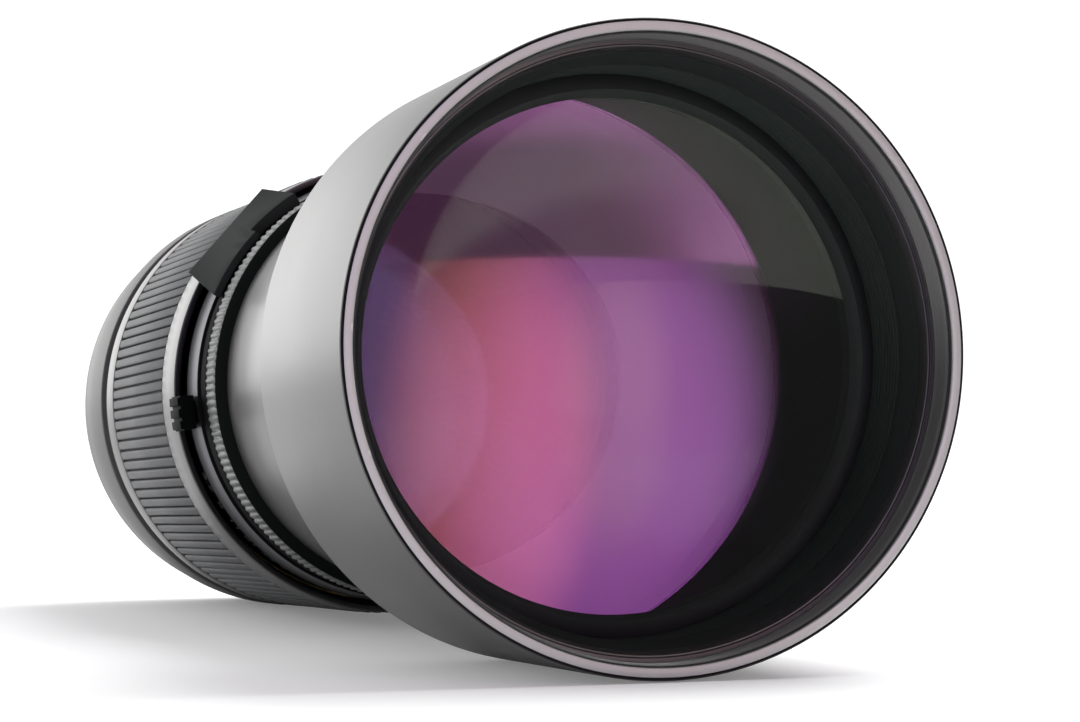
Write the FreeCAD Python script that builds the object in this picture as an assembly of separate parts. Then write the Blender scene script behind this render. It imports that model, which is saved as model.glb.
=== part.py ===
import FreeCAD, Part
import math
import os

from FreeCAD import Vector

# Telephoto lens for a medium-format camera, in millimetres.
# The optical axis is the Y axis: the front glass faces -Y and the camera is at +Y.
# The origin is the centre of the rear flange face that seats on the camera.
# The lens lies on its side as in use on a table, with +Z up and +X to the right
# of someone who looks into the front glass. Angles are in degrees from +X
# towards +Z. Places along the axis are measured backwards from the front rim.

# Clearances
SEAT_GAP = 0.03
RUN_GAP = 0.05
OPEN_GAP = 0.35
FACE_GAP = 0.2
CUT_PAST = 1.0

# Front barrel and its rim
RIM_RADIUS = 45.0
RIM_FACE_WIDTH = 1.75
RIM_EDGE = 0.3
THREAD_CHAMFER = 0.65
THREAD_LEAD_IN = 0.6
THREAD_LENGTH = 4.4
THREAD_DEPTH = 0.5
BARREL_LENGTH = 48.0
BARREL_TAPER = 0.5
CONE_LENGTH = 16.0
CELL_BORE_STEP = 1.5
BARREL_BORE_END = 2.0

# Rings seen inside the front opening
LIP_WIDTH = 2.25
LIP_LAND = 0.35
LIP_RING_DEPTH = 0.9
NAME_RING_WIDTH = 3.0
NAME_RING_DEPTH = 1.3
FRONT_WALL_DEPTH = 9.45

# Front cell and its two elements
CELL_FLANGE_LENGTH = 13.75
CELL_TAIL_STEP = 2.1
CELL_CONE_LEAD = 0.5
CELL_END_GAP = 0.2
CELL_END_WALL = 1.3
BARREL_STEP_GAP = 0.37
FRONT_GLASS_EDGE = 5.0
FRONT_GLASS_SAG = 6.4
FRONT_GLASS_REAR_SAG = 3.2
FRONT_GLASS_SET_BACK = 1.25
FRONT_RING_OVERLAP = 1.0
FRONT_RING_DEPTH = 2.3
FRONT_RING_NOSE = 1.4
FRONT_RING_WIDTH = 2.3
SPACER_LAND = 1.4
SECOND_GLASS_RECESS = 0.3
SECOND_GLASS_EDGE = 2.5
SECOND_GLASS_SAG = -1.8
SECOND_GLASS_REAR_SAG = 1.8
SECOND_SEAT_WIDTH = 1.4
SECOND_SEAT_LAND = 1.0
SECOND_RING_LENGTH = 1.0
SECOND_RING_WIDTH = 1.6

# Main tube and what it holds
TUBE_BORE = 32.5
TUBE_FRONT_WALL = 3.1
TUBE_REAR_WALL = 2.35
TUBE_LENGTH = 49.4
SPIGOT_WALL = 1.4
SPIGOT_LENGTH = 2.0
THIRD_CELL_LENGTH = 23.0
THIRD_CELL_LIP = 2.0
THIRD_SEAT_DEPTH = 13.0
THIRD_SEAT_WIDTH = 1.5
THIRD_SEAT_LAND = 1.0
THIRD_CELL_WALL = 12.1
THIRD_GLASS_EDGE = 7.0
THIRD_GLASS_SAG = 2.4
THIRD_GLASS_REAR_SAG = -2.0
THIRD_RING_LENGTH = 2.5
THIRD_RING_WIDTH = 1.7
BAFFLE_END_GAP = 0.5
BAFFLE_DEPTH = 2.9
BAFFLE_GROOVE_DEPTH = 1.2
BAFFLE_GROOVES = 12

# Shutter housing
COVER_SPIGOT_LENGTH = 8.4
COVER_SPIGOT_WALL = 2.0
COVER_PLATE = 1.6
HOUSING_SHOULDER = 0.9
HOUSING_WALL = 1.1
HOUSING_STEP = 0.4
HOUSING_LENGTH = 19.0
STOP_RADIUS = 14.0

# Shutter and iris blades
BLADES = 5
BLADE_THICKNESS = 0.3
BLADE_PITCH = 0.5
BLADE_INNER_MARGIN = 0.3
BLADE_OUTER_MARGIN = 2.7
BLADE_START_ANGLE = -4.0
BLADE_END_ANGLE = 112.0
BLADE_PIVOT_INSET = 3.0
BLADE_EYE_RADIUS = 1.9
BLADE_ARM = 4.4
BLADE_ARM_ANGLE = 20.0
BLADE_ARM_WIDTH = 2.0
STUD_RADIUS = 0.9
PIN_RADIUS = 0.6
SLOT_GAP = 0.25
RING_BORE_MARGIN = 0.8
RING_THICKNESS = 1.6
RING_EDGE_WEB = 0.6
LEVEL_GAP = 0.4
MID_PLATE = 1.4
SHUTTER_SWING_ANGLE = 29.5
SHUTTER_RING_TURN_ANGLE = 24.0
IRIS_SWING_ANGLE = 25.0
IRIS_RING_TURN_ANGLE = 60.0
SHUTTER_BLADE_ANGLE = 20.0
IRIS_BLADE_ANGLE = 56.0

# Rings around the shutter housing
COVER_RING_WALL = 3.2
COVER_RING_LAND = 0.25
SPEED_RING_WALL = 3.45
SPEED_RING_WIDTH = 6.6
SPEED_RING_TEETH = 180
SPEED_TOOTH_DEPTH = 0.45
SPEED_TOOTH_SHARE = 0.5
SPEED_RING_MIN_ANGLE = -50.0
SPEED_RING_MAX_ANGLE = 30.0
APERTURE_RING_WALL = 2.9
APERTURE_RING_WIDTH = 5.7
KEY_COVER = 0.6
KEY_RADIUS = 0.8
KEY_GAP = 0.3
KEY_ROOT_WALL = 1.5
SPEED_KEY_ANGLE = 230.0
APERTURE_KEY_SLOT = 3

# Fixed scale ring, index block and preview tab
SCALE_FRONT_WALL = 3.4
SCALE_REAR_WALL = 4.0
SCALE_WIDTH = 5.4
SCALE_LAND = 0.6
SLEEVE_STEP = 0.4
SLEEVE_WALL = 1.0
SLEEVE_LENGTH = 8.2
INDEX_ANGLE = 138.0
INDEX_REAR_HALF_ANGLE = 13.6
INDEX_FRONT_HALF_ANGLE = 18.0
INDEX_REAR_HEIGHT = 4.6
INDEX_FRONT_HEIGHT = 1.6
INDEX_OVERHANG = 3.8
INDEX_NOTCH_SPAN_ANGLE = 16.0
INDEX_NOTCH_DEPTH = 2.0
TAB_START_ANGLE = 182.2
TAB_END_ANGLE = 190.8
TAB_HEIGHT = 3.1
TAB_OVERHANG = 0.9
TAB_FOOT_WIDTH = 2.6
TAB_FOOT_DEPTH = 1.4
TAB_TRAVEL_ANGLE = 12.0
TAB_FOOT_ANGLE = 1.5
TAB_SLOT_ANGLE = 1.0
TAB_RIDGES = 3
TAB_RIDGE_HEIGHT = 0.45
TAB_RIDGE_SHARE = 0.7

# Focus ring, grip and helicoid
FOCUS_GAP = 0.8
FOCUS_SKIRT_GAP = 0.9
FOCUS_SKIRT_WALL = 1.1
FOCUS_LIP_TAPER = 0.2
FOCUS_LIP_LENGTH = 9.4
FOCUS_SKIRT_DEPTH = 6.9
FOCUS_TUBE_WALL = 1.02
GRIP_LENGTH = 46.0
GRIP_STANDS_OUT = 0.15
GRIP_RIB_HEIGHT = 0.65
GRIP_WALL = 0.7
GRIP_RIBS = 128
GRIP_RIB_SHARE = 0.6
FOCUS_REAR_STEP = 0.05
FOCUS_REAR_LENGTH = 6.5
FOCUS_GROOVE_DEPTH = 0.65
NUT_FRONT_GAP = 6.0
NUT_WALL = 1.82
HELICOID_WALL = 1.45
HELICOID_FRONT_GAP = 9.0
HELICOID_REAR_GAP = 2.0
SET_SCREWS = 3
SET_SCREW_RADIUS = 1.1
SET_SCREW_SINK = 0.4
SET_SCREW_ANGLE = 186.6
FOCUS_TRAVEL = 28.0

# Sliding barrel that carries the optics
SLIDE_FLANGE = 3.0
SLIDE_FLANGE_WIDTH = 4.6
SLIDE_WALL = 1.57
SLIDE_REAR_GAP = 2.1
FLANGE_SCREWS = 4
FLANGE_SCREW_INSET = 2.8
FLANGE_SCREW_RADIUS = 1.0
FLANGE_SCREW_HEAD_RADIUS = 1.6
FLANGE_SCREW_HEAD = 1.4
FLANGE_SCREW_BITE = 3.0

# Rear cell
REAR_CELL_GAP = 3.6
REAR_SPIGOT_STEP = 2.0
REAR_SPIGOT_LENGTH = 2.5
REAR_CELL_LENGTH = 26.0
REAR_CELL_WALL = 1.8
REAR_SEAT_WIDTH = 1.6
REAR_GLASS_SET_BACK = 16.0
REAR_GLASS_EDGE = 6.0
REAR_GLASS_SAG = -1.9
REAR_GLASS_REAR_SAG = -0.8
REAR_RING_LENGTH = 2.5
REAR_RING_WIDTH = 1.5

# Rear housing, fixed guide tube and bayonet
RETAINER_THICKNESS = 2.0
RETAINER_EDGE_GAP = 0.3
RETAINER_SCREWS = 4
RETAINER_SCREW_RADIUS = 0.8
RETAINER_SCREW_HEAD_RADIUS = 1.3
RETAINER_SCREW_HEAD = 1.0
RETAINER_SCREW_BITE = 3.0
BEARING_LENGTH = 4.8
BEARING_WALL = 2.77
GROOVE_DEPTH = 1.0
GROOVE_LENGTH = 4.6
REAR_RING_STEP = 0.15
REAR_RING_LENGTH_OUTER = 10.4
REAR_CONE_LENGTH = 14.5
REAR_CONE_TAPER = 1.3
REAR_HOLLOW_DEPTH = 8.0
GUIDE_TUBE_GAP = 0.5
GUIDE_TUBE_WALL = 1.7
GUIDE_TUBE_FLANGE = 3.0
GUIDE_FRONT_GAP = 11.1
KEY_BLOCKS = 3
KEY_BLOCK_WIDTH = 6.0
KEY_BLOCK_LENGTH = 10.0
KEY_BLOCK_INSET = 2.0
KEY_BLOCK_SINK = 0.6
KEY_BLOCK_TOP_GAP = 0.37
KEY_SIDE_GAP = 0.1
KEY_BLOCK_ANGLE = 30.0
MOUNT_PLATE = 5.0
MOUNT_RIM_WALL = 2.4
MOUNT_STANDS_OUT = 0.5
FLANGE_FACE_WIDTH = 5.2
FLANGE_STEP = 0.3
COLLAR_INSET = 2.5
COLLAR_WALL = 1.5
COLLAR_LENGTH = 7.0
COLLAR_SHOULDER = 0.5
COLLAR_SHOULDER_WIDTH = 1.1
LUGS = 4
LUG_HEIGHT = 2.1
LUG_SPAN_ANGLE = 34.0
LUG_THICKNESS = 2.6
MOUNT_SCREWS = 4
MOUNT_SCREW_INSET = 2.6
MOUNT_SCREW_RADIUS = 1.25
MOUNT_SCREW_HEAD_RADIUS = 2.1
MOUNT_SCREW_HEAD = 1.4
MOUNT_SCREW_LENGTH = 14.0
MOUNT_SCREW_SINK = 0.15
REAR_BAFFLE_THICKNESS = 3.0
REAR_BAFFLE_WIDTH = 8.5

# Shafts that carry the drive from the camera to the shutter
DRIVE_INSET = 4.4
DRIVE_ANGLE = 348.0
DRIVE_JOURNAL_RADIUS = 2.0
DRIVE_JOURNAL_DEPTH = 3.0
DRIVE_SQUARE = 3.0
DRIVE_END_GAP = 11.8
SOCKET_GAP = 0.1
SOCKET_RADIUS = 3.1
SOCKET_ENGAGEMENT = 7.0
COCKING_RADIUS = 2.5
COCKING_SHANK = 10.5
COCKING_STANDS_OUT = 1.6
COCKING_SLOT_WIDTH = 1.0
COCKING_SLOT_DEPTH = 1.2
SOCKET_END_GAP = 1.0

# Places along the axis, measured backwards from the front rim
S_LIP = THREAD_LEAD_IN + THREAD_LENGTH
S_NAME = S_LIP + LIP_WIDTH
S_CELL = S_NAME + NAME_RING_WIDTH
S_FRONT_RING = S_CELL + FRONT_WALL_DEPTH
S_FRONT_GLASS = S_FRONT_RING + FRONT_GLASS_SET_BACK
S_FRONT_SEAT = S_FRONT_GLASS + FRONT_GLASS_EDGE
S_CELL_STEP = S_CELL + CELL_FLANGE_LENGTH
S_BARREL_END = BARREL_LENGTH
S_CONE_END = S_BARREL_END + CONE_LENGTH
S_SPIGOT = S_CONE_END - SPIGOT_LENGTH
S_BORE_CONE = S_BARREL_END - BARREL_BORE_END
S_CELL_CONE = S_BORE_CONE - CELL_CONE_LEAD
S_CELL_END = S_SPIGOT - CELL_END_GAP
S_SECOND_RING = S_CELL_END - SECOND_RING_LENGTH
S_SECOND_GLASS = S_SECOND_RING - SECOND_GLASS_EDGE
S_TUBE_END = S_CONE_END + TUBE_LENGTH
S_THIRD_CELL = S_CONE_END
S_THIRD_GLASS = S_THIRD_CELL + THIRD_SEAT_DEPTH
S_THIRD_RING = S_THIRD_GLASS + THIRD_GLASS_EDGE
S_THIRD_CELL_END = S_THIRD_CELL + THIRD_CELL_LENGTH
S_BAFFLE = S_THIRD_CELL_END
S_COVER_SPIGOT = S_TUBE_END - COVER_SPIGOT_LENGTH
S_BAFFLE_END = S_COVER_SPIGOT - BAFFLE_END_GAP
S_CAVITY = S_TUBE_END + COVER_PLATE
S_SHUTTER_RING = S_CAVITY + RUN_GAP + FACE_GAP
S_SHUTTER_BLADES = S_SHUTTER_RING + RING_THICKNESS + LEVEL_GAP
BLADE_STACK = BLADE_PITCH * (BLADES - 1) + BLADE_THICKNESS
S_MID_PLATE = S_SHUTTER_BLADES + BLADE_STACK + LEVEL_GAP
S_IRIS_BLADES = S_MID_PLATE + MID_PLATE + LEVEL_GAP
S_IRIS_RING = S_IRIS_BLADES + BLADE_STACK + LEVEL_GAP
S_REAR_WALL = S_IRIS_RING + RUN_GAP + RING_THICKNESS + FACE_GAP
S_HOUSING_END = S_CAVITY + HOUSING_LENGTH
S_SPEED_RING = S_CAVITY + FACE_GAP
S_SPEED_RING_END = S_SPEED_RING + SPEED_RING_WIDTH
S_APERTURE_RING = S_SPEED_RING_END + FACE_GAP
S_APERTURE_RING_END = S_APERTURE_RING + APERTURE_RING_WIDTH
S_SCALE = S_APERTURE_RING_END + FACE_GAP
S_SCALE_LAND = S_SCALE + SCALE_WIDTH
S_SCALE_END = S_SCALE_LAND + SCALE_LAND
S_SLEEVE_END = S_SCALE_END + SLEEVE_LENGTH
S_FOCUS = S_SCALE_END + FOCUS_GAP
S_GRIP = S_FOCUS + FOCUS_LIP_LENGTH
S_GRIP_END = S_GRIP + GRIP_LENGTH
S_FOCUS_END = S_GRIP_END + FOCUS_REAR_LENGTH
S_RETAINER = S_GRIP_END + FACE_GAP
S_BEARING = S_RETAINER + RETAINER_THICKNESS
S_GROOVE = S_BEARING + BEARING_LENGTH
S_REAR_RING = S_GROOVE + GROOVE_LENGTH
S_REAR_CONE = S_REAR_RING + REAR_RING_LENGTH_OUTER
S_REAR_END = S_REAR_CONE + REAR_CONE_LENGTH
S_FLANGE = S_REAR_END + MOUNT_STANDS_OUT
S_MOUNT = S_FLANGE - MOUNT_PLATE
S_GUIDE_FLANGE = S_MOUNT - GUIDE_TUBE_FLANGE
S_COLLAR_END = S_FLANGE + COLLAR_LENGTH
S_SLIDE_FLANGE_END = S_HOUSING_END + SLIDE_FLANGE
S_SLIDE_END = S_GRIP_END - SLIDE_REAR_GAP
S_GUIDE_FRONT = S_SLIDE_FLANGE_END + GUIDE_FRONT_GAP
S_KEY = S_GUIDE_FRONT + KEY_BLOCK_INSET
S_REAR_SPIGOT = S_HOUSING_END - REAR_SPIGOT_LENGTH
S_REAR_CELL_END = S_HOUSING_END + REAR_CELL_LENGTH
S_REAR_GLASS = S_HOUSING_END + REAR_GLASS_SET_BACK
S_REAR_GLASS_END = S_REAR_GLASS + REAR_GLASS_EDGE
S_SHANK = S_MOUNT - COCKING_SHANK
S_DRIVE_END = S_SHANK - DRIVE_END_GAP
S_SOCKET = S_DRIVE_END - FOCUS_TRAVEL - SOCKET_ENGAGEMENT
S_BAFFLE_PLATE = S_MOUNT + COLLAR_SHOULDER
S_COCKING_END = S_FLANGE + COCKING_STANDS_OUT

# Radii of the front barrel and cell, from the rim inwards
RIM_INNER_RADIUS = RIM_RADIUS - RIM_FACE_WIDTH
THREAD_RADIUS = RIM_INNER_RADIUS - THREAD_CHAMFER
HOOD_BORE = THREAD_RADIUS - THREAD_DEPTH
LIP_INNER_RADIUS = HOOD_BORE - LIP_RING_DEPTH
NAME_RING_INNER_RADIUS = LIP_INNER_RADIUS - NAME_RING_DEPTH
CELL_TAIL_RADIUS = HOOD_BORE - CELL_TAIL_STEP
FRONT_GLASS_RADIUS = NAME_RING_INNER_RADIUS - FRONT_RING_DEPTH
FRONT_RING_INNER_RADIUS = FRONT_GLASS_RADIUS - FRONT_RING_OVERLAP

# Radii of the tube, the shutter housing and its rings, from the tube's bore
TUBE_FRONT_RADIUS = TUBE_BORE + TUBE_FRONT_WALL
TUBE_REAR_RADIUS = TUBE_BORE + TUBE_REAR_WALL
SPIGOT_RADIUS = TUBE_BORE + SPIGOT_WALL
SECOND_GLASS_RADIUS = SPIGOT_RADIUS - SECOND_GLASS_RECESS
SECOND_RING_BORE = SECOND_GLASS_RADIUS - SECOND_RING_WIDTH
CELL_END_RADIUS = SECOND_GLASS_RADIUS + SEAT_GAP + CELL_END_WALL
BARREL_STEP_RADIUS = CELL_END_RADIUS + BARREL_STEP_GAP
THIRD_GLASS_RADIUS = TUBE_BORE - THIRD_CELL_WALL
BAFFLE_BORE = TUBE_BORE - BAFFLE_DEPTH
HOUSING_RADIUS = TUBE_BORE + HOUSING_SHOULDER
HOUSING_BORE = HOUSING_RADIUS - HOUSING_WALL
RING_SEAT_RADIUS = HOUSING_RADIUS + RUN_GAP
COVER_RING_REAR_RADIUS = HOUSING_RADIUS + COVER_RING_WALL
SPEED_RING_RADIUS = HOUSING_RADIUS + SPEED_RING_WALL
APERTURE_RING_RADIUS = HOUSING_RADIUS + APERTURE_RING_WALL
SCALE_FRONT_RADIUS = HOUSING_RADIUS + SCALE_FRONT_WALL
SCALE_REAR_RADIUS = HOUSING_RADIUS + SCALE_REAR_WALL
SLEEVE_RADIUS = SCALE_REAR_RADIUS - SLEEVE_STEP
INDEX_REAR_CORNER_RADIUS = SCALE_REAR_RADIUS + INDEX_REAR_HEIGHT
INDEX_FRONT_RADIUS = APERTURE_RING_RADIUS + INDEX_FRONT_HEIGHT
TAB_TOP_RADIUS = SCALE_REAR_RADIUS + TAB_HEIGHT

# Radii of the blades and their rings
BLADE_PIVOT_RADIUS = HOUSING_BORE - BLADE_PIVOT_INSET
BLADE_OUTER_RADIUS = BLADE_PIVOT_RADIUS - BLADE_OUTER_MARGIN
BLADE_INNER_RADIUS = STOP_RADIUS + BLADE_INNER_MARGIN
RING_BORE = BLADE_OUTER_RADIUS - RING_BORE_MARGIN
BOSS_RADIUS = RING_BORE - RUN_GAP
SLOT_HALF = PIN_RADIUS + SLOT_GAP

# Radii of the focus ring, then inwards to the guide tube
FOCUS_SKIRT_BORE = SCALE_REAR_RADIUS + FOCUS_SKIRT_GAP
LIP_FRONT_RADIUS = FOCUS_SKIRT_BORE + FOCUS_SKIRT_WALL
LIP_REAR_RADIUS = LIP_FRONT_RADIUS + FOCUS_LIP_TAPER
GRIP_TIP_RADIUS = LIP_REAR_RADIUS + GRIP_STANDS_OUT
GRIP_ROOT_RADIUS = GRIP_TIP_RADIUS - GRIP_RIB_HEIGHT
FOCUS_TUBE_RADIUS = GRIP_ROOT_RADIUS - GRIP_WALL - SEAT_GAP
FOCUS_TUBE_BORE = FOCUS_TUBE_RADIUS - FOCUS_TUBE_WALL
FOCUS_REAR_RADIUS = GRIP_TIP_RADIUS + FOCUS_REAR_STEP
FOCUS_GROOVE_RADIUS = FOCUS_TUBE_BORE + FOCUS_GROOVE_DEPTH
RETAINER_RADIUS = FOCUS_GROOVE_RADIUS - RETAINER_EDGE_GAP
NUT_RADIUS = FOCUS_TUBE_BORE - SEAT_GAP
NUT_BORE = NUT_RADIUS - NUT_WALL
HELICOID_RADIUS = NUT_BORE - RUN_GAP
HELICOID_BORE = HELICOID_RADIUS - HELICOID_WALL
SLIDE_RADIUS = HELICOID_BORE - SEAT_GAP
SLIDE_BORE = SLIDE_RADIUS - SLIDE_WALL
GUIDE_TUBE_RADIUS = SLIDE_BORE - GUIDE_TUBE_GAP
GUIDE_TUBE_BORE = GUIDE_TUBE_RADIUS - GUIDE_TUBE_WALL
KEY_BLOCK_TOP = SLIDE_RADIUS - KEY_BLOCK_TOP_GAP

# Radii of the rear housing and the mount
BEARING_RADIUS = FOCUS_TUBE_BORE - SEAT_GAP - RUN_GAP
BEARING_BORE = BEARING_RADIUS - BEARING_WALL
RETAINER_SCREW_CIRCLE = (BEARING_RADIUS + BEARING_BORE) / 2
REAR_RING_RADIUS = GRIP_TIP_RADIUS + REAR_RING_STEP
GROOVE_RADIUS = REAR_RING_RADIUS - GROOVE_DEPTH
REAR_END_RADIUS = REAR_RING_RADIUS - REAR_CONE_TAPER
MOUNT_RADIUS = REAR_END_RADIUS - MOUNT_RIM_WALL
MOUNT_SCREW_CIRCLE = MOUNT_RADIUS - MOUNT_SCREW_INSET
FLANGE_FACE_INNER = MOUNT_RADIUS - FLANGE_FACE_WIDTH
COLLAR_RADIUS = FLANGE_FACE_INNER - COLLAR_INSET
COLLAR_BORE = COLLAR_RADIUS - COLLAR_WALL
LUG_RADIUS = COLLAR_RADIUS + LUG_HEIGHT
REAR_BAFFLE_OPENING = COLLAR_BORE - REAR_BAFFLE_WIDTH
DRIVE_OFFSET = COLLAR_BORE - DRIVE_INSET
REAR_CELL_RADIUS = DRIVE_OFFSET - REAR_CELL_GAP
REAR_SPIGOT_RADIUS = REAR_CELL_RADIUS - REAR_SPIGOT_STEP
REAR_GLASS_RADIUS = REAR_CELL_RADIUS - REAR_CELL_WALL
REAR_CELL_THROAT = REAR_GLASS_RADIUS - REAR_SEAT_WIDTH
FLANGE_SCREW_CIRCLE = HOUSING_RADIUS - FLANGE_SCREW_INSET
SLIDE_FLANGE_BORE = HOUSING_RADIUS - SLIDE_FLANGE_WIDTH


# Shared helpers
def along(s):
    """Y coordinate of a place measured backwards from the front rim."""
    return s - S_FLANGE


def point(radius, angle, s):
    turn = math.radians(angle)
    return Vector(radius * math.cos(turn), along(s), radius * math.sin(turn))


def turned(outline, arcs=()):
    """Solid of revolution about the axis. The outline is a closed list of
    (radius, place); arcs maps the number of an edge to a point on its arc."""
    arcs = dict(arcs)
    corners = [Vector(r, along(s), 0) for r, s in outline]
    edges = []
    for i, start in enumerate(corners):
        end = corners[(i + 1) % len(corners)]
        if i in arcs:
            r, s = arcs[i]
            edges.append(Part.Arc(start, Vector(r, along(s), 0), end).toShape())
        else:
            edges.append(Part.LineSegment(start, end).toShape())
    face = Part.Face(Part.Wire(edges))
    return face.revolve(Vector(0, 0, 0), Vector(0, 1, 0), 360)


def ring(inner, outer, front, rear):
    return turned([(inner, front), (outer, front), (outer, rear), (inner, rear)])


def rod(radius, front, rear, offset=0.0, angle=0.0):
    """Round bar parallel to the axis."""
    return Part.makeCylinder(radius, rear - front, point(offset, angle, front), Vector(0, 1, 0))


def radial_pin(radius, inner, outer, angle, s):
    direction = point(1, angle, 0) - point(0, angle, 0)
    return Part.makeCylinder(radius, outer - inner, point(inner, angle, s), direction)


def prism(corners, front, rear):
    """Straight prism along the axis over corners given as (radius, angle)."""
    flat = [point(r, a, front) for r, a in corners]
    face = Part.Face(Part.makePolygon(flat + flat[:1]))
    return face.extrude(Vector(0, rear - front, 0))


def sector(inner, outer, start, end, front, rear):
    """Part of a ring between two angles."""
    middle = (start + end) / 2
    edges = [
        Part.Arc(point(outer, start, front), point(outer, middle, front), point(outer, end, front)).toShape(),
        Part.LineSegment(point(outer, end, front), point(inner, end, front)).toShape(),
        Part.Arc(point(inner, end, front), point(inner, middle, front), point(inner, start, front)).toShape(),
        Part.LineSegment(point(inner, start, front), point(outer, start, front)).toShape(),
    ]
    return Part.Face(Part.Wire(edges)).extrude(Vector(0, rear - front, 0))


def toothed_ring(bore, root, tip, teeth, share, front, rear):
    """Ring whose outside has straight teeth; share is the part of the pitch
    that the tip and half of each flank fill."""
    pitch = 360.0 / teeth
    corners = []
    for i in range(teeth):
        foot = share / 2 + 0.1
        crest = share / 2 - 0.1
        for radius, step in ((root, -foot), (tip, -crest), (tip, crest), (root, foot)):
            corners.append((radius, (i + step) * pitch))
    return prism(corners, front, rear).cut(rod(bore, front, rear))


def turned_about_axis(shape, angle):
    """The shape turned towards larger angles."""
    copy = shape.copy()
    copy.rotate(Vector(0, 0, 0), Vector(0, -1, 0), angle)
    return copy


def sphere_depth(radius, sag, at_radius):
    """Depth of a spherical face at a radius, seen from its vertex."""
    curve = (radius * radius + sag * sag) / (2 * abs(sag))
    return math.copysign(curve - math.sqrt(curve * curve - at_radius * at_radius), sag)


def seat_behind(radius, edge, sag, at_radius):
    """Place of a flat seat that the rear face of an element touches at a radius."""
    return edge + sag - sphere_depth(radius, sag, at_radius)


def seat_before(radius, edge, sag, at_radius):
    """Place of a flat seat that the front face of an element touches at a radius."""
    return edge - sag + sphere_depth(radius, sag, at_radius)


def glass(radius, edge_front, edge_rear, front_sag, rear_sag):
    """Lens element with spherical faces. A positive sag bulges outwards."""
    half = radius / 2
    front = edge_front - front_sag
    rear = edge_rear + rear_sag
    outline = [(0, front), (radius, edge_front), (radius, edge_rear), (0, rear)]
    arcs = {
        0: (half, front + sphere_depth(radius, front_sag, half)),
        2: (half, rear - sphere_depth(radius, rear_sag, half)),
    }
    return turned(outline, arcs)


# Front barrel, its rings and the front cell
def front_barrel():
    seat = SPIGOT_RADIUS + SEAT_GAP
    bore = HOOD_BORE - CELL_BORE_STEP
    return turned([
        (RIM_INNER_RADIUS, 0),
        (RIM_RADIUS - RIM_EDGE, 0),
        (RIM_RADIUS, RIM_EDGE),
        (RIM_RADIUS - BARREL_TAPER, S_BARREL_END),
        (TUBE_FRONT_RADIUS, S_CONE_END),
        (seat, S_CONE_END),
        (seat, S_SPIGOT),
        (BARREL_STEP_RADIUS, S_SPIGOT),
        (bore, S_BORE_CONE),
        (bore, S_CELL_STEP),
        (HOOD_BORE, S_CELL_STEP),
        (HOOD_BORE, S_LIP),
        (THREAD_RADIUS, S_LIP),
        (THREAD_RADIUS, THREAD_LEAD_IN),
    ])


def lip_ring():
    outer = HOOD_BORE - SEAT_GAP
    return turned([
        (outer, S_LIP),
        (outer, S_NAME),
        (LIP_INNER_RADIUS, S_NAME),
        (LIP_INNER_RADIUS, S_NAME - LIP_LAND),
        (outer - LIP_LAND, S_LIP),
    ])


def name_ring():
    outer = HOOD_BORE - SEAT_GAP
    return turned([
        (LIP_INNER_RADIUS, S_NAME),
        (outer, S_NAME),
        (outer, S_CELL),
        (NAME_RING_INNER_RADIUS, S_CELL),
    ])


def front_cell():
    outer = HOOD_BORE - SEAT_GAP
    seat = FRONT_GLASS_RADIUS + SEAT_GAP
    rear_bore = SECOND_GLASS_RADIUS + SEAT_GAP
    throat = SECOND_GLASS_RADIUS - SECOND_SEAT_WIDTH
    land = seat - SPACER_LAND
    front_seat = seat_behind(FRONT_GLASS_RADIUS, S_FRONT_SEAT, FRONT_GLASS_REAR_SAG, land)
    return turned([
        (NAME_RING_INNER_RADIUS, S_CELL),
        (outer, S_CELL),
        (outer, S_CELL_STEP),
        (CELL_TAIL_RADIUS, S_CELL_STEP),
        (CELL_TAIL_RADIUS, S_CELL_CONE),
        (CELL_END_RADIUS, S_CELL_END),
        (rear_bore, S_CELL_END),
        (rear_bore, S_SECOND_GLASS),
        (throat, S_SECOND_GLASS),
        (throat, S_SECOND_GLASS - SECOND_SEAT_LAND),
        (land, front_seat),
        (seat, front_seat),
        (seat, S_FRONT_RING + FRONT_RING_WIDTH),
        (NAME_RING_INNER_RADIUS, S_FRONT_RING + FRONT_RING_WIDTH),
    ])


def front_retaining_ring():
    outer = NAME_RING_INNER_RADIUS - SEAT_GAP
    step = FRONT_GLASS_RADIUS + SEAT_GAP
    press = seat_before(FRONT_GLASS_RADIUS, S_FRONT_GLASS, FRONT_GLASS_SAG, FRONT_RING_INNER_RADIUS)
    nose = press - RUN_GAP
    return turned([
        (outer, S_FRONT_RING),
        (outer, S_FRONT_RING + FRONT_RING_WIDTH),
        (step, S_FRONT_RING + FRONT_RING_WIDTH),
        (step, nose),
        (FRONT_RING_INNER_RADIUS, nose),
        (FRONT_RING_INNER_RADIUS, nose - RUN_GAP),
        (step, S_FRONT_RING - FRONT_RING_NOSE),
    ])


def front_element():
    return glass(FRONT_GLASS_RADIUS, S_FRONT_GLASS, S_FRONT_SEAT, FRONT_GLASS_SAG, FRONT_GLASS_REAR_SAG)


def second_element():
    return glass(SECOND_GLASS_RADIUS, S_SECOND_GLASS, S_SECOND_RING, SECOND_GLASS_SAG, SECOND_GLASS_REAR_SAG)


def second_retaining_ring():
    front = seat_behind(SECOND_GLASS_RADIUS, S_SECOND_RING, SECOND_GLASS_REAR_SAG, SECOND_RING_BORE)
    return ring(SECOND_RING_BORE, SECOND_GLASS_RADIUS, front, S_SECOND_RING + SECOND_RING_LENGTH)


# Main tube, third element and light baffle
def main_tube():
    return turned([
        (TUBE_BORE, S_SPIGOT),
        (SPIGOT_RADIUS, S_SPIGOT),
        (SPIGOT_RADIUS, S_CONE_END),
        (TUBE_FRONT_RADIUS, S_CONE_END),
        (TUBE_REAR_RADIUS, S_TUBE_END),
        (TUBE_BORE, S_TUBE_END),
    ])


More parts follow.
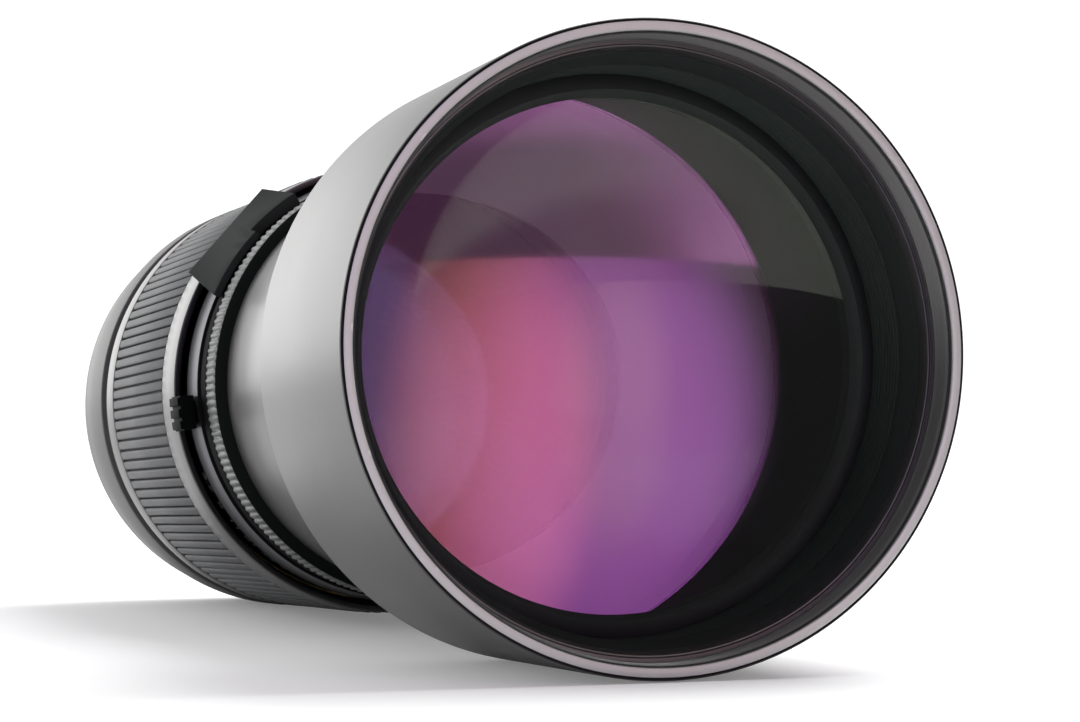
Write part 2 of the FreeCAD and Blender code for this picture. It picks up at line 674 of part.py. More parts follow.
def third_cell():
    outer = TUBE_BORE - SEAT_GAP
    bore = THIRD_GLASS_RADIUS + SEAT_GAP
    throat = THIRD_GLASS_RADIUS - THIRD_SEAT_WIDTH
    seat = seat_before(THIRD_GLASS_RADIUS, S_THIRD_GLASS, THIRD_GLASS_SAG, throat)
    return turned([
        (throat, seat - THIRD_SEAT_LAND),
        (outer - THIRD_CELL_LIP, S_THIRD_CELL),
        (outer, S_THIRD_CELL),
        (outer, S_THIRD_CELL_END),
        (bore, S_THIRD_CELL_END),
        (bore, seat),
        (throat, seat),
    ])


def third_element():
    return glass(THIRD_GLASS_RADIUS, S_THIRD_GLASS, S_THIRD_RING, THIRD_GLASS_SAG, THIRD_GLASS_REAR_SAG)


def third_retaining_ring():
    bore = THIRD_GLASS_RADIUS - THIRD_RING_WIDTH
    return ring(bore, THIRD_GLASS_RADIUS, S_THIRD_RING, S_THIRD_RING + THIRD_RING_LENGTH)


def tube_baffle():
    outline = [(TUBE_BORE - SEAT_GAP, S_BAFFLE_END), (TUBE_BORE - SEAT_GAP, S_BAFFLE)]
    pitch = (S_BAFFLE_END - S_BAFFLE) / BAFFLE_GROOVES
    for i in range(BAFFLE_GROOVES):
        outline.append((BAFFLE_BORE, S_BAFFLE + i * pitch))
        outline.append((BAFFLE_BORE + BAFFLE_GROOVE_DEPTH, S_BAFFLE + (i + 0.5) * pitch))
    outline.append((BAFFLE_BORE, S_BAFFLE_END))
    return turned(outline)


# Shutter housing
def shutter_cover():
    spigot = TUBE_BORE - SEAT_GAP
    return turned([
        (STOP_RADIUS, S_TUBE_END),
        (spigot - COVER_SPIGOT_WALL, S_TUBE_END),
        (spigot - COVER_SPIGOT_WALL, S_COVER_SPIGOT),
        (spigot, S_COVER_SPIGOT),
        (spigot, S_TUBE_END),
        (HOUSING_RADIUS, S_TUBE_END),
        (HOUSING_RADIUS, S_CAVITY),
        (BOSS_RADIUS, S_CAVITY),
        (BOSS_RADIUS, S_SHUTTER_RING + RING_THICKNESS),
        (STOP_RADIUS, S_SHUTTER_RING + RING_THICKNESS),
    ])


def drive_place():
    return DRIVE_OFFSET, DRIVE_ANGLE


def aperture_key_angle():
    """The key stands in the web between two slots of the iris ring."""
    slot_end = math.degrees(SLOT_HALF / BLADE_PIVOT_RADIUS)
    web_start = iris_pin_angle() + slot_end
    web_end = iris_pin_angle() + 360.0 / BLADES - IRIS_RING_TURN_ANGLE - slot_end
    return APERTURE_KEY_SLOT * 360.0 / BLADES + IRIS_BLADE_ANGLE + (web_start + web_end) / 2


def key_slot(angle, low, high, s, radius_in, radius_out):
    """Slot in the housing wall that lets a key travel from low to high."""
    reach = KEY_RADIUS + KEY_GAP
    side = math.degrees(reach / radius_in)
    return sector(radius_in, radius_out, angle + low - side, angle + high + side, s - reach, s + reach)


def flange_screw_angles():
    return [45.0 + i * 360.0 / FLANGE_SCREWS for i in range(FLANGE_SCREWS)]


def flange_screw_tool(angle):
    front = S_SLIDE_FLANGE_END - SLIDE_FLANGE - FLANGE_SCREW_BITE
    shank = rod(FLANGE_SCREW_RADIUS, front, S_SLIDE_FLANGE_END, FLANGE_SCREW_CIRCLE, angle)
    head_end = S_SLIDE_FLANGE_END + FLANGE_SCREW_HEAD
    head = rod(FLANGE_SCREW_HEAD_RADIUS, S_SLIDE_FLANGE_END, head_end, FLANGE_SCREW_CIRCLE, angle)
    return shank.fuse(head).removeSplitter()


def shutter_housing():
    seat = REAR_SPIGOT_RADIUS + SEAT_GAP
    step = HOUSING_BORE - HOUSING_STEP
    shell = turned([
        (STOP_RADIUS, S_IRIS_RING),
        (BOSS_RADIUS, S_IRIS_RING),
        (BOSS_RADIUS, S_REAR_WALL),
        (step, S_REAR_WALL),
        (step, S_MID_PLATE + MID_PLATE),
        (HOUSING_BORE, S_MID_PLATE + MID_PLATE),
        (HOUSING_BORE, S_CAVITY),
        (HOUSING_RADIUS, S_CAVITY),
        (HOUSING_RADIUS, S_HOUSING_END),
        (seat, S_HOUSING_END),
        (seat, S_REAR_SPIGOT),
        (STOP_RADIUS, S_REAR_SPIGOT),
    ])
    journal_front = S_HOUSING_END - DRIVE_JOURNAL_DEPTH
    journal = rod(DRIVE_JOURNAL_RADIUS + RUN_GAP, journal_front, S_HOUSING_END, *drive_place())
    outer = HOUSING_RADIUS + CUT_PAST
    iris_middle = S_IRIS_RING + RING_THICKNESS / 2
    aperture_slot = key_slot(aperture_key_angle(), 0, IRIS_RING_TURN_ANGLE, iris_middle, step - CUT_PAST, outer)
    speed_middle = S_SPEED_RING + SPEED_RING_WIDTH / 2
    speed_slot = key_slot(SPEED_KEY_ANGLE, SPEED_RING_MIN_ANGLE, SPEED_RING_MAX_ANGLE, speed_middle,
                          HOUSING_BORE - CUT_PAST, outer)
    for tool in [journal, aperture_slot, speed_slot] + [flange_screw_tool(a) for a in flange_screw_angles()]:
        shell = shell.cut(tool)
    return shell


def mid_plate():
    return ring(STOP_RADIUS, HOUSING_BORE - SEAT_GAP, S_MID_PLATE, S_MID_PLATE + MID_PLATE)


# Blades. Each is laid out with its pivot at angle zero and then turned to its place.
def pin_place(swing=0.0):
    """Radius and angle of a blade's drive pin after the blade has swung in."""
    lean = math.radians(180.0 + 90.0 - BLADE_ARM_ANGLE + swing)
    x = BLADE_PIVOT_RADIUS + BLADE_ARM * math.cos(lean)
    z = BLADE_ARM * math.sin(lean)
    return math.hypot(x, z), math.degrees(math.atan2(z, x))


def iris_pin_angle():
    return pin_place()[1]


def flat_bar(start, end, width, front, rear):
    """Flat bar between two points given as (radius, angle)."""
    a = point(start[0], start[1], front)
    b = point(end[0], end[1], front)
    across = (b - a).cross(Vector(0, 1, 0))
    across.normalize()
    across.multiply(width / 2)
    corners = [a + across, b + across, b - across, a - across]
    return Part.Face(Part.makePolygon(corners + corners[:1])).extrude(Vector(0, rear - front, 0))


def blade(level, pin_front, pin_rear, angle):
    rear = level + BLADE_THICKNESS
    pivot = (BLADE_PIVOT_RADIUS, 0.0)
    root = (BLADE_OUTER_RADIUS - BLADE_EYE_RADIUS, 0.0)
    pin_radius, pin_angle = pin_place()
    leaf = sector(BLADE_INNER_RADIUS, BLADE_OUTER_RADIUS, BLADE_START_ANGLE, BLADE_END_ANGLE, level, rear)
    pieces = [
        flat_bar(root, pivot, 2 * BLADE_EYE_RADIUS, level, rear),
        rod(BLADE_EYE_RADIUS, level, rear, *pivot),
        flat_bar(pivot, (pin_radius, pin_angle), BLADE_ARM_WIDTH, level, rear),
        rod(BLADE_ARM_WIDTH / 2, level, rear, pin_radius, pin_angle),
        rod(PIN_RADIUS, pin_front, pin_rear, pin_radius, pin_angle),
    ]
    for piece in pieces:
        leaf = leaf.fuse(piece)
    leaf = leaf.removeSplitter().cut(rod(STUD_RADIUS + RUN_GAP, level, rear, *pivot))
    return turned_about_axis(leaf, angle)


def shutter_blade(number):
    level = S_SHUTTER_BLADES + number * BLADE_PITCH
    return blade(level, S_SHUTTER_RING + FACE_GAP, level + BLADE_THICKNESS,
                 SHUTTER_BLADE_ANGLE + number * 360.0 / BLADES)


def iris_blade(number):
    level = S_IRIS_BLADES + number * BLADE_PITCH
    pin_rear = S_IRIS_RING + RING_THICKNESS - FACE_GAP
    return blade(level, level, pin_rear, IRIS_BLADE_ANGLE + number * 360.0 / BLADES)


def studs(front, rear, first_angle):
    """Pivot studs of one set of blades, riveted into the middle plate."""
    places = [first_angle + i * 360.0 / BLADES for i in range(BLADES)]
    return Part.makeCompound([rod(STUD_RADIUS, front, rear, BLADE_PIVOT_RADIUS, a) for a in places])


def shutter_studs():
    return studs(S_SHUTTER_BLADES - FACE_GAP, S_MID_PLATE, SHUTTER_BLADE_ANGLE)


def iris_studs():
    return studs(S_MID_PLATE + MID_PLATE, S_IRIS_RING - FACE_GAP, IRIS_BLADE_ANGLE)


def cam_ring(front, swing, ring_turn, first_angle):
    """Ring with one curved slot for each blade's pin. In the ring's own frame
    the pin runs from its open place to its closed one while the ring turns."""
    places = []
    for share in (0.0, 0.5, 1.0):
        radius, angle = pin_place(swing * share)
        places.append((radius, angle - ring_turn * share))
    outer = max(radius for radius, angle in places) + SLOT_HALF + RING_EDGE_WEB
    rear = front + RING_THICKNESS
    body = ring(RING_BORE, outer, front, rear)
    for i in range(BLADES):
        turn = first_angle + i * 360.0 / BLADES
        track = [(radius, angle + turn) for radius, angle in places]
        edges = []
        sides = []
        for side in (SLOT_HALF, -SLOT_HALF):
            sides.append([point(radius + side, angle, front) for radius, angle in track])
        edges.append(Part.Arc(*sides[0]).toShape())
        edges.append(Part.LineSegment(sides[0][2], sides[1][2]).toShape())
        edges.append(Part.Arc(*reversed(sides[1])).toShape())
        edges.append(Part.LineSegment(sides[1][0], sides[0][0]).toShape())
        body = body.cut(Part.Face(Part.Wire(edges)).extrude(Vector(0, RING_THICKNESS, 0)))
        for end in (track[0], track[2]):
            body = body.cut(rod(SLOT_HALF, front, rear, *end))
    return body


def shutter_drive_ring():
    return cam_ring(S_SHUTTER_RING, SHUTTER_SWING_ANGLE, SHUTTER_RING_TURN_ANGLE, SHUTTER_BLADE_ANGLE)


def aperture_key():
    inner = RING_BORE + KEY_ROOT_WALL
    return radial_pin(KEY_RADIUS, inner, APERTURE_RING_RADIUS - KEY_COVER, aperture_key_angle(),
                      S_IRIS_RING + RING_THICKNESS / 2)


def iris_drive_ring():
    body = cam_ring(S_IRIS_RING + RUN_GAP, IRIS_SWING_ANGLE, IRIS_RING_TURN_ANGLE, IRIS_BLADE_ANGLE)
    return body.cut(aperture_key())


# Rings around the shutter housing
def front_cover_ring():
    bore = HOUSING_RADIUS + SEAT_GAP
    return turned([
        (bore, S_TUBE_END),
        (TUBE_REAR_RADIUS, S_TUBE_END),
        (COVER_RING_REAR_RADIUS, S_CAVITY - COVER_RING_LAND),
        (COVER_RING_REAR_RADIUS, S_CAVITY),
        (bore, S_CAVITY),
    ])


def speed_key():
    outer = SPEED_RING_RADIUS - SPEED_TOOTH_DEPTH - KEY_COVER
    return radial_pin(KEY_RADIUS, HOUSING_BORE + RUN_GAP, outer, SPEED_KEY_ANGLE,
                      S_SPEED_RING + SPEED_RING_WIDTH / 2)


def shutter_speed_ring():
    root = SPEED_RING_RADIUS - SPEED_TOOTH_DEPTH
    body = toothed_ring(RING_SEAT_RADIUS, root, SPEED_RING_RADIUS, SPEED_RING_TEETH, SPEED_TOOTH_SHARE,
                        S_SPEED_RING, S_SPEED_RING_END)
    return body.cut(speed_key())


def aperture_ring():
    body = ring(RING_SEAT_RADIUS, APERTURE_RING_RADIUS, S_APERTURE_RING, S_APERTURE_RING_END)
    return body.cut(aperture_key())


# Fixed scale ring, index block and preview tab
def tab_foot(start, end, side, depth):
    """Foot of the preview tab, or with a side gap the groove that it runs in."""
    middle = S_SCALE + SCALE_WIDTH / 2
    return sector(SCALE_FRONT_RADIUS - depth, SCALE_REAR_RADIUS + OPEN_GAP, start, end,
                  middle - TAB_FOOT_WIDTH / 2 - side, middle + TAB_FOOT_WIDTH / 2 + side)


def scale_ring():
    bore = HOUSING_RADIUS + SEAT_GAP
    sleeve_bore = SLEEVE_RADIUS - SLEEVE_WALL
    body = turned([
        (bore, S_SCALE),
        (SCALE_FRONT_RADIUS, S_SCALE),
        (SCALE_REAR_RADIUS, S_SCALE_LAND),
        (SCALE_REAR_RADIUS, S_SCALE_END),
        (SLEEVE_RADIUS, S_SCALE_END),
        (SLEEVE_RADIUS, S_SLEEVE_END),
        (sleeve_bore, S_SLEEVE_END),
        (sleeve_bore, S_HOUSING_END),
        (bore, S_HOUSING_END),
    ])
    slot_start = TAB_START_ANGLE - TAB_SLOT_ANGLE
    slot_end = TAB_END_ANGLE + TAB_TRAVEL_ANGLE + TAB_SLOT_ANGLE
    return body.cut(tab_foot(slot_start, slot_end, FACE_GAP, TAB_FOOT_DEPTH + OPEN_GAP))


def four_sided(inner, outer, half, s, chord):
    """Closed outline across the index block: an inner arc and an outer arc or chord."""
    low = INDEX_ANGLE - half
    high = INDEX_ANGLE + half
    inner_arc = Part.Arc(point(inner, low, s), point(inner, INDEX_ANGLE, s), point(inner, high, s)).toShape()
    if chord:
        top = Part.LineSegment(point(outer, high, s), point(outer, low, s)).toShape()
    else:
        top = Part.Arc(point(outer, high, s), point(outer, INDEX_ANGLE, s), point(outer, low, s)).toShape()
    side_high = Part.LineSegment(point(inner, high, s), point(outer, high, s)).toShape()
    side_low = Part.LineSegment(point(outer, low, s), point(inner, low, s)).toShape()
    return Part.Wire([inner_arc, side_high, top, side_low])


def index_block():
    front = S_SCALE - INDEX_OVERHANG
    inner = APERTURE_RING_RADIUS + OPEN_GAP
    outlines = [
        four_sided(inner, INDEX_FRONT_RADIUS, INDEX_FRONT_HALF_ANGLE, front, False),
        four_sided(inner, INDEX_REAR_CORNER_RADIUS, INDEX_REAR_HALF_ANGLE, S_SCALE_END, True),
    ]
    body = Part.makeLoft(outlines, True, True)
    notch_end = INDEX_ANGLE - INDEX_FRONT_HALF_ANGLE + INDEX_NOTCH_SPAN_ANGLE
    notch_start = INDEX_ANGLE - INDEX_FRONT_HALF_ANGLE - TAB_SLOT_ANGLE
    notch = sector(inner - CUT_PAST, INDEX_REAR_CORNER_RADIUS, notch_start, notch_end, front - CUT_PAST,
                   front + INDEX_NOTCH_DEPTH)
    return body.cut(notch).cut(scale_ring())


def preview_tab():
    front = S_SCALE - TAB_OVERHANG
    inner = SCALE_REAR_RADIUS + OPEN_GAP
    crest = TAB_TOP_RADIUS - TAB_RIDGE_HEIGHT
    block = sector(inner, crest, TAB_START_ANGLE, TAB_END_ANGLE, front, S_SCALE_END)
    foot_start = TAB_START_ANGLE + TAB_FOOT_ANGLE
    foot_end = TAB_END_ANGLE - TAB_FOOT_ANGLE
    block = block.fuse(tab_foot(foot_start, foot_end, 0.0, TAB_FOOT_DEPTH))
    pitch = (TAB_END_ANGLE - TAB_START_ANGLE) / TAB_RIDGES
    for i in range(TAB_RIDGES):
        start = TAB_START_ANGLE + (i + (1 - TAB_RIDGE_SHARE) / 2) * pitch
        end = start + TAB_RIDGE_SHARE * pitch
        ridge = sector(crest - TAB_RIDGE_HEIGHT, TAB_TOP_RADIUS, start, end, front, S_SCALE_END)
        block = block.fuse(ridge)
    return block.removeSplitter()


# Focus ring, grip and helicoid
def set_screw_places():
    return [SET_SCREW_ANGLE + i * 360.0 / SET_SCREWS for i in range(SET_SCREWS)]


def set_screw(angle, sink):
    s = (S_FOCUS + FOCUS_SKIRT_DEPTH + S_GRIP) / 2
    return radial_pin(SET_SCREW_RADIUS, FOCUS_TUBE_BORE + SEAT_GAP, LIP_REAR_RADIUS - sink, angle, s)


def lip_set_screws():
    return Part.makeCompound([set_screw(a, SET_SCREW_SINK) for a in set_screw_places()])


def focus_ring():
    body = turned([
        (FOCUS_SKIRT_BORE, S_FOCUS),
        (LIP_FRONT_RADIUS, S_FOCUS),
        (LIP_REAR_RADIUS, S_GRIP),
        (FOCUS_TUBE_RADIUS, S_GRIP),
        (FOCUS_TUBE_RADIUS, S_GRIP_END),
        (FOCUS_REAR_RADIUS, S_GRIP_END),
        (FOCUS_REAR_RADIUS, S_FOCUS_END),
        (BEARING_RADIUS + RUN_GAP, S_FOCUS_END),
        (BEARING_RADIUS + RUN_GAP, S_BEARING + FACE_GAP),
        (FOCUS_GROOVE_RADIUS, S_BEARING + FACE_GAP),
        (FOCUS_GROOVE_RADIUS, S_GRIP_END),
        (FOCUS_TUBE_BORE, S_GRIP_END),
        (FOCUS_TUBE_BORE, S_FOCUS + FOCUS_SKIRT_DEPTH),
        (FOCUS_SKIRT_BORE, S_FOCUS + FOCUS_SKIRT_DEPTH),
    ])
    for angle in set_screw_places():
        body = body.cut(set_screw(angle, -1.0))
    return body


def grip_sleeve():
    bore = FOCUS_TUBE_RADIUS + SEAT_GAP
    return toothed_ring(bore, GRIP_ROOT_RADIUS, GRIP_TIP_RADIUS, GRIP_RIBS, GRIP_RIB_SHARE, S_GRIP, S_GRIP_END)


def helicoid_nut():
    return ring(NUT_BORE, NUT_BORE + NUT_WALL, S_GRIP + NUT_FRONT_GAP, S_GRIP_END)


def inner_helicoid():
    return ring(HELICOID_BORE, HELICOID_RADIUS, S_SLIDE_FLANGE_END + HELICOID_FRONT_GAP,
                S_SLIDE_END - HELICOID_REAR_GAP)


# Sliding barrel, rear cell and rear element
def key_block_angles():
    return [KEY_BLOCK_ANGLE + i * 360.0 / KEY_BLOCKS for i in range(KEY_BLOCKS)]


def key_box(angle, half_width, inner, outer, front, rear):
    corner = Vector(inner, along(front), -half_width)
    box = Part.makeBox(outer - inner, rear - front, 2 * half_width, corner)
    return turned_about_axis(box, angle)


def sliding_barrel():
    flange_radius = SLEEVE_RADIUS - SLEEVE_WALL - SEAT_GAP
    body = turned([
        (SLIDE_FLANGE_BORE, S_HOUSING_END),
        (flange_radius, S_HOUSING_END),
        (flange_radius, S_SLIDE_FLANGE_END),
        (SLIDE_RADIUS, S_SLIDE_FLANGE_END),
        (SLIDE_RADIUS, S_SLIDE_END),
        (SLIDE_BORE, S_SLIDE_END),
        (SLIDE_BORE, S_SLIDE_FLANGE_END),
        (SLIDE_FLANGE_BORE, S_SLIDE_FLANGE_END),
    ])
    half = KEY_BLOCK_WIDTH / 2 + KEY_SIDE_GAP
    for angle in key_block_angles():
        body = body.cut(key_box(angle, half, SLIDE_BORE - CUT_PAST, SLIDE_RADIUS + CUT_PAST, S_KEY - FACE_GAP,
                                S_SLIDE_END + CUT_PAST))
    for angle in flange_screw_angles():
        body = body.cut(flange_screw_tool(angle))
    return body


def flange_screws():
    return Part.makeCompound([flange_screw_tool(a) for a in flange_screw_angles()])


def rear_cell():
    bore = REAR_GLASS_RADIUS + SEAT_GAP
    return turned([
        (REAR_CELL_THROAT, S_REAR_SPIGOT),
        (REAR_SPIGOT_RADIUS, S_REAR_SPIGOT),
        (REAR_SPIGOT_RADIUS, S_HOUSING_END),
        (REAR_CELL_RADIUS, S_HOUSING_END),
        (REAR_CELL_RADIUS, S_REAR_CELL_END),
        (bore, S_REAR_CELL_END),
        (bore, S_REAR_GLASS),
        (REAR_CELL_THROAT, S_REAR_GLASS),
    ])


def fourth_element():
    return glass(REAR_GLASS_RADIUS, S_REAR_GLASS, S_REAR_GLASS_END, REAR_GLASS_SAG, REAR_GLASS_REAR_SAG)


def rear_retaining_ring():
    bore = REAR_GLASS_RADIUS - REAR_RING_WIDTH
    return ring(bore, REAR_GLASS_RADIUS, S_REAR_GLASS_END, S_REAR_GLASS_END + REAR_RING_LENGTH)


# Rear housing, guide tube and bayonet
def retainer_screw_angles():
    return [i * 360.0 / RETAINER_SCREWS for i in range(RETAINER_SCREWS)]


def retainer_screw_tool(angle):
    tip = S_BEARING + RETAINER_SCREW_BITE
    head_end = S_RETAINER + RETAINER_SCREW_HEAD
    shank = rod(RETAINER_SCREW_RADIUS, S_RETAINER, tip, RETAINER_SCREW_CIRCLE, angle)
    head = rod(RETAINER_SCREW_HEAD_RADIUS, S_RETAINER, head_end, RETAINER_SCREW_CIRCLE, angle)
    return shank.fuse(head).removeSplitter()


def retainer_screws():
    return Part.makeCompound([retainer_screw_tool(a) for a in retainer_screw_angles()])


def focus_retainer():
    body = ring(BEARING_BORE, RETAINER_RADIUS, S_RETAINER, S_BEARING)
    for angle in retainer_screw_angles():
        body = body.cut(retainer_screw_tool(angle))
    return body


def mount_screw_angles():
    return [i * 360.0 / MOUNT_SCREWS for i in range(MOUNT_SCREWS)]


def mount_screw(angle, sink):
    """Countersunk screw; with no sink it is the tool for its hole."""
    rim = S_FLANGE - MOUNT_SCREW_SINK
    neck = rim - MOUNT_SCREW_HEAD
    tip = S_FLANGE - MOUNT_SCREW_LENGTH
    head = Part.makeCone(MOUNT_SCREW_RADIUS, MOUNT_SCREW_HEAD_RADIUS, MOUNT_SCREW_HEAD,
                         point(MOUNT_SCREW_CIRCLE, angle, neck), Vector(0, 1, 0))
    whole = head.fuse(rod(MOUNT_SCREW_RADIUS, tip, rim, MOUNT_SCREW_CIRCLE, angle))
    if sink == 0.0:
        whole = whole.fuse(rod(MOUNT_SCREW_HEAD_RADIUS, rim, S_FLANGE, MOUNT_SCREW_CIRCLE, angle))
    return whole.removeSplitter()


def mount_screws():
    return Part.makeCompound([mount_screw(a, MOUNT_SCREW_SINK) for a in mount_screw_angles()])


def with_mount_holes(body):
    for angle in mount_screw_angles():
        body = body.cut(mount_screw(angle, 0.0))
    return body


def rear_housing():
    body = turned([
        (BEARING_BORE, S_BEARING),
        (BEARING_RADIUS, S_BEARING),
        (BEARING_RADIUS, S_GROOVE),
        (GROOVE_RADIUS, S_GROOVE),
        (GROOVE_RADIUS, S_REAR_RING),
        (REAR_RING_RADIUS, S_REAR_RING),
        (REAR_RING_RADIUS, S_REAR_CONE),
        (REAR_END_RADIUS, S_REAR_END),
        (MOUNT_RADIUS, S_REAR_END),
        (MOUNT_RADIUS, S_GUIDE_FLANGE),
        (GUIDE_TUBE_RADIUS + SEAT_GAP, S_GUIDE_FLANGE),
        (GUIDE_TUBE_RADIUS + SEAT_GAP, S_BEARING + REAR_HOLLOW_DEPTH),
        (BEARING_BORE, S_BEARING + REAR_HOLLOW_DEPTH),
    ])
    for angle in retainer_screw_angles():
        body = body.cut(retainer_screw_tool(angle))
    return with_mount_holes(body)


def guide_keys():
    half = KEY_BLOCK_WIDTH / 2
    inner = GUIDE_TUBE_RADIUS - KEY_BLOCK_SINK
    rear = S_KEY + KEY_BLOCK_LENGTH
    blocks = [key_box(angle, half, inner, KEY_BLOCK_TOP, S_KEY, rear) for angle in key_block_angles()]
    return Part.makeCompound(blocks)


def guide_tube():
    body = turned([
        (GUIDE_TUBE_BORE, S_GUIDE_FRONT),
        (GUIDE_TUBE_RADIUS, S_GUIDE_FRONT),
        (GUIDE_TUBE_RADIUS, S_GUIDE_FLANGE),
        (MOUNT_RADIUS - SEAT_GAP, S_GUIDE_FLANGE),
        (MOUNT_RADIUS - SEAT_GAP, S_MOUNT),
        (GUIDE_TUBE_BORE, S_MOUNT),
    ])
    return with_mount_holes(body.cut(guide_keys()))


def bayonet_mount():
    lug_front = S_COLLAR_END - LUG_THICKNESS
    body = turned([
        (MOUNT_RADIUS - SEAT_GAP, S_MOUNT),
        (MOUNT_RADIUS - SEAT_GAP, S_FLANGE),
        (FLANGE_FACE_INNER, S_FLANGE),
        (FLANGE_FACE_INNER, S_FLANGE - FLANGE_STEP),
        (COLLAR_RADIUS, S_FLANGE - FLANGE_STEP),
        (COLLAR_RADIUS, S_COLLAR_END),
        (COLLAR_BORE, S_COLLAR_END),
        (COLLAR_BORE, S_BAFFLE_PLATE),
        (COLLAR_BORE - COLLAR_SHOULDER_WIDTH, S_BAFFLE_PLATE),
        (COLLAR_BORE - COLLAR_SHOULDER_WIDTH, S_MOUNT),
    ])
    for i in range(LUGS):
        middle = INDEX_ANGLE + (i + 0.5) * 360.0 / LUGS
        start = middle - LUG_SPAN_ANGLE / 2
        end = middle + LUG_SPAN_ANGLE / 2
        lug = sector(COLLAR_RADIUS - COLLAR_WALL / 2, LUG_RADIUS, start, end, lug_front, S_COLLAR_END)
        body = body.fuse(lug)
    return with_mount_holes(body.removeSplitter())


def rear_baffle():
    rear = S_BAFFLE_PLATE + REAR_BAFFLE_THICKNESS
    body = ring(REAR_BAFFLE_OPENING, COLLAR_BORE - SEAT_GAP, S_BAFFLE_PLATE, rear)
    hole = rod(COCKING_RADIUS + RUN_GAP, S_BAFFLE_PLATE, rear, *drive_place())
    return body.cut(hole)


# Shafts from the camera to the shutter
def square_bar(side, front, rear):
    offset, angle = drive_place()
    centre = point(offset, angle, front)
    corner = Vector(centre.x - side / 2, centre.y, centre.z - side / 2)
    return Part.makeBox(side, rear - front, side, corner)


def drive_shaft():
    journal_front = S_HOUSING_END - DRIVE_JOURNAL_DEPTH + FACE_GAP
    journal = rod(DRIVE_JOURNAL_RADIUS, journal_front, S_HOUSING_END + FACE_GAP, *drive_place())
    return journal.fuse(square_bar(DRIVE_SQUARE, S_HOUSING_END + FACE_GAP, S_DRIVE_END))


def cocking_shaft():
    socket = rod(SOCKET_RADIUS, S_SOCKET, S_SHANK, *drive_place())
    shank = rod(COCKING_RADIUS, S_SHANK, S_COCKING_END, *drive_place())
    body = socket.fuse(shank)
    body = body.cut(square_bar(DRIVE_SQUARE + 2 * SOCKET_GAP, S_SOCKET, S_DRIVE_END + SOCKET_END_GAP))
    centre = point(*drive_place(), S_COCKING_END - COCKING_SLOT_DEPTH)
    corner = Vector(centre.x - COCKING_RADIUS, centre.y, centre.z - COCKING_SLOT_WIDTH / 2)
    return body.cut(Part.makeBox(2 * COCKING_RADIUS, COCKING_SLOT_DEPTH, COCKING_SLOT_WIDTH, corner))


# Every sub-part and the function that makes it
SUB_PARTS = [
    front_barrel, lip_ring, name_ring, front_cell, front_retaining_ring, front_element, second_element,
    second_retaining_ring, main_tube, third_cell, third_element, third_retaining_ring, tube_baffle,
    front_cover_ring, shutter_cover, shutter_housing, mid_plate, shutter_studs, iris_studs,
    shutter_drive_ring, iris_drive_ring, aperture_key, aperture_ring, shutter_speed_ring, speed_key,
    scale_ring, index_block, preview_tab, sliding_barrel, flange_screws, inner_helicoid, rear_cell,
    fourth_element, rear_retaining_ring, helicoid_nut, focus_ring, grip_sleeve, lip_set_screws,
    focus_retainer, retainer_screws, rear_housing, guide_tube, guide_keys, bayonet_mount, mount_screws,
    rear_baffle, drive_shaft, cocking_shaft,
]


def main():
    os.makedirs("parts", exist_ok=True)
    shapes = {make.__name__: make() for make in SUB_PARTS}
    for number in range(BLADES):
        shapes["shutter_blade_%d" % (number + 1)] = shutter_blade(number)
        shapes["iris_blade_%d" % (number + 1)] = iris_blade(number)
    for name, shape in shapes.items():
        shape.exportStep("parts/%s.step" % name)
        valid = all(solid.isValid() and solid.isClosed() for solid in shape.Solids)
        print("%-24s solids %2d  volume %10.1f  valid %s" % (name, len(shape.Solids), shape.Volume, valid))


main()
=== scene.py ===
import math

import bmesh
import bpy
from mathutils import Matrix, Vector


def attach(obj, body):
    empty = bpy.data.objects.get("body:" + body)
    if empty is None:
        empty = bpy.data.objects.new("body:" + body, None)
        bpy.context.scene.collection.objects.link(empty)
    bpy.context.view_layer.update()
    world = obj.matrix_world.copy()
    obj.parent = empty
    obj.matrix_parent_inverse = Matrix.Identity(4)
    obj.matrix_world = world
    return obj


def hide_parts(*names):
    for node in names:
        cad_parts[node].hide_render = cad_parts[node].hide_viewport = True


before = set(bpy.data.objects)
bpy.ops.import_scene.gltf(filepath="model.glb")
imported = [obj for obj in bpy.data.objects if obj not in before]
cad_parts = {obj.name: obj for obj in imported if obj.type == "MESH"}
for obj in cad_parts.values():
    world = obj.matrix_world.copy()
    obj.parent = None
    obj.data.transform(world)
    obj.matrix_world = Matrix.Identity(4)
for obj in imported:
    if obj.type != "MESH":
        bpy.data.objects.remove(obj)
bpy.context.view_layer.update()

bpy.ops.object.select_all(action="DESELECT")

# Telephoto lens. Lengths are written in millimetres and places along the optical
# axis are measured backwards from the front rim, as on a workshop drawing.
# Angles are in degrees from +X towards +Z.
MM = 0.001
FLANGE = 227.1
WHEEL = 256
GLASS_WHEEL = 192
GLASS_RINGS = 48

# Front barrel: radii and places
RIM_RADIUS = 45.0
RIM_FACE = (43.2, 44.5)
RIM_GROOVE = (44.5, 44.82)
THREAD_CREST, THREAD_ROOT = 42.6, 43.0
THREAD_TURNS, THREAD_PITCH = 5, 0.8
BARREL_BORE, BARREL_REAR_BORE = 42.1, 40.6
LIP_FRONT, NAME_FRONT, NAME_REAR = 5.0, 7.25, 10.25
RING_OUTER, LIP_BORE, WALL_BORE = 42.07, 41.2, 39.9
CELL_SHOULDER, CYLINDER_END, TUBE_FRONT, CONE_END = 24.0, 48.0, 62.0, 64.0
CELL_SEAT, RETAINER_REAR, FRONT_GLASS_BORE = 26.18, 22.0, 37.63
WALL_STEPS = 9

# Glasses: radius, front edge, rear edge, front sag, rear sag
FRONT_GLASS = (37.6, 20.95, 25.95, 6.4, 3.2)
SECOND_GLASS = (33.6, 58.3, 60.8, -1.8, 1.8)
THIRD_GLASS = (20.4, 77.0, 84.0, 2.4, -2.0)

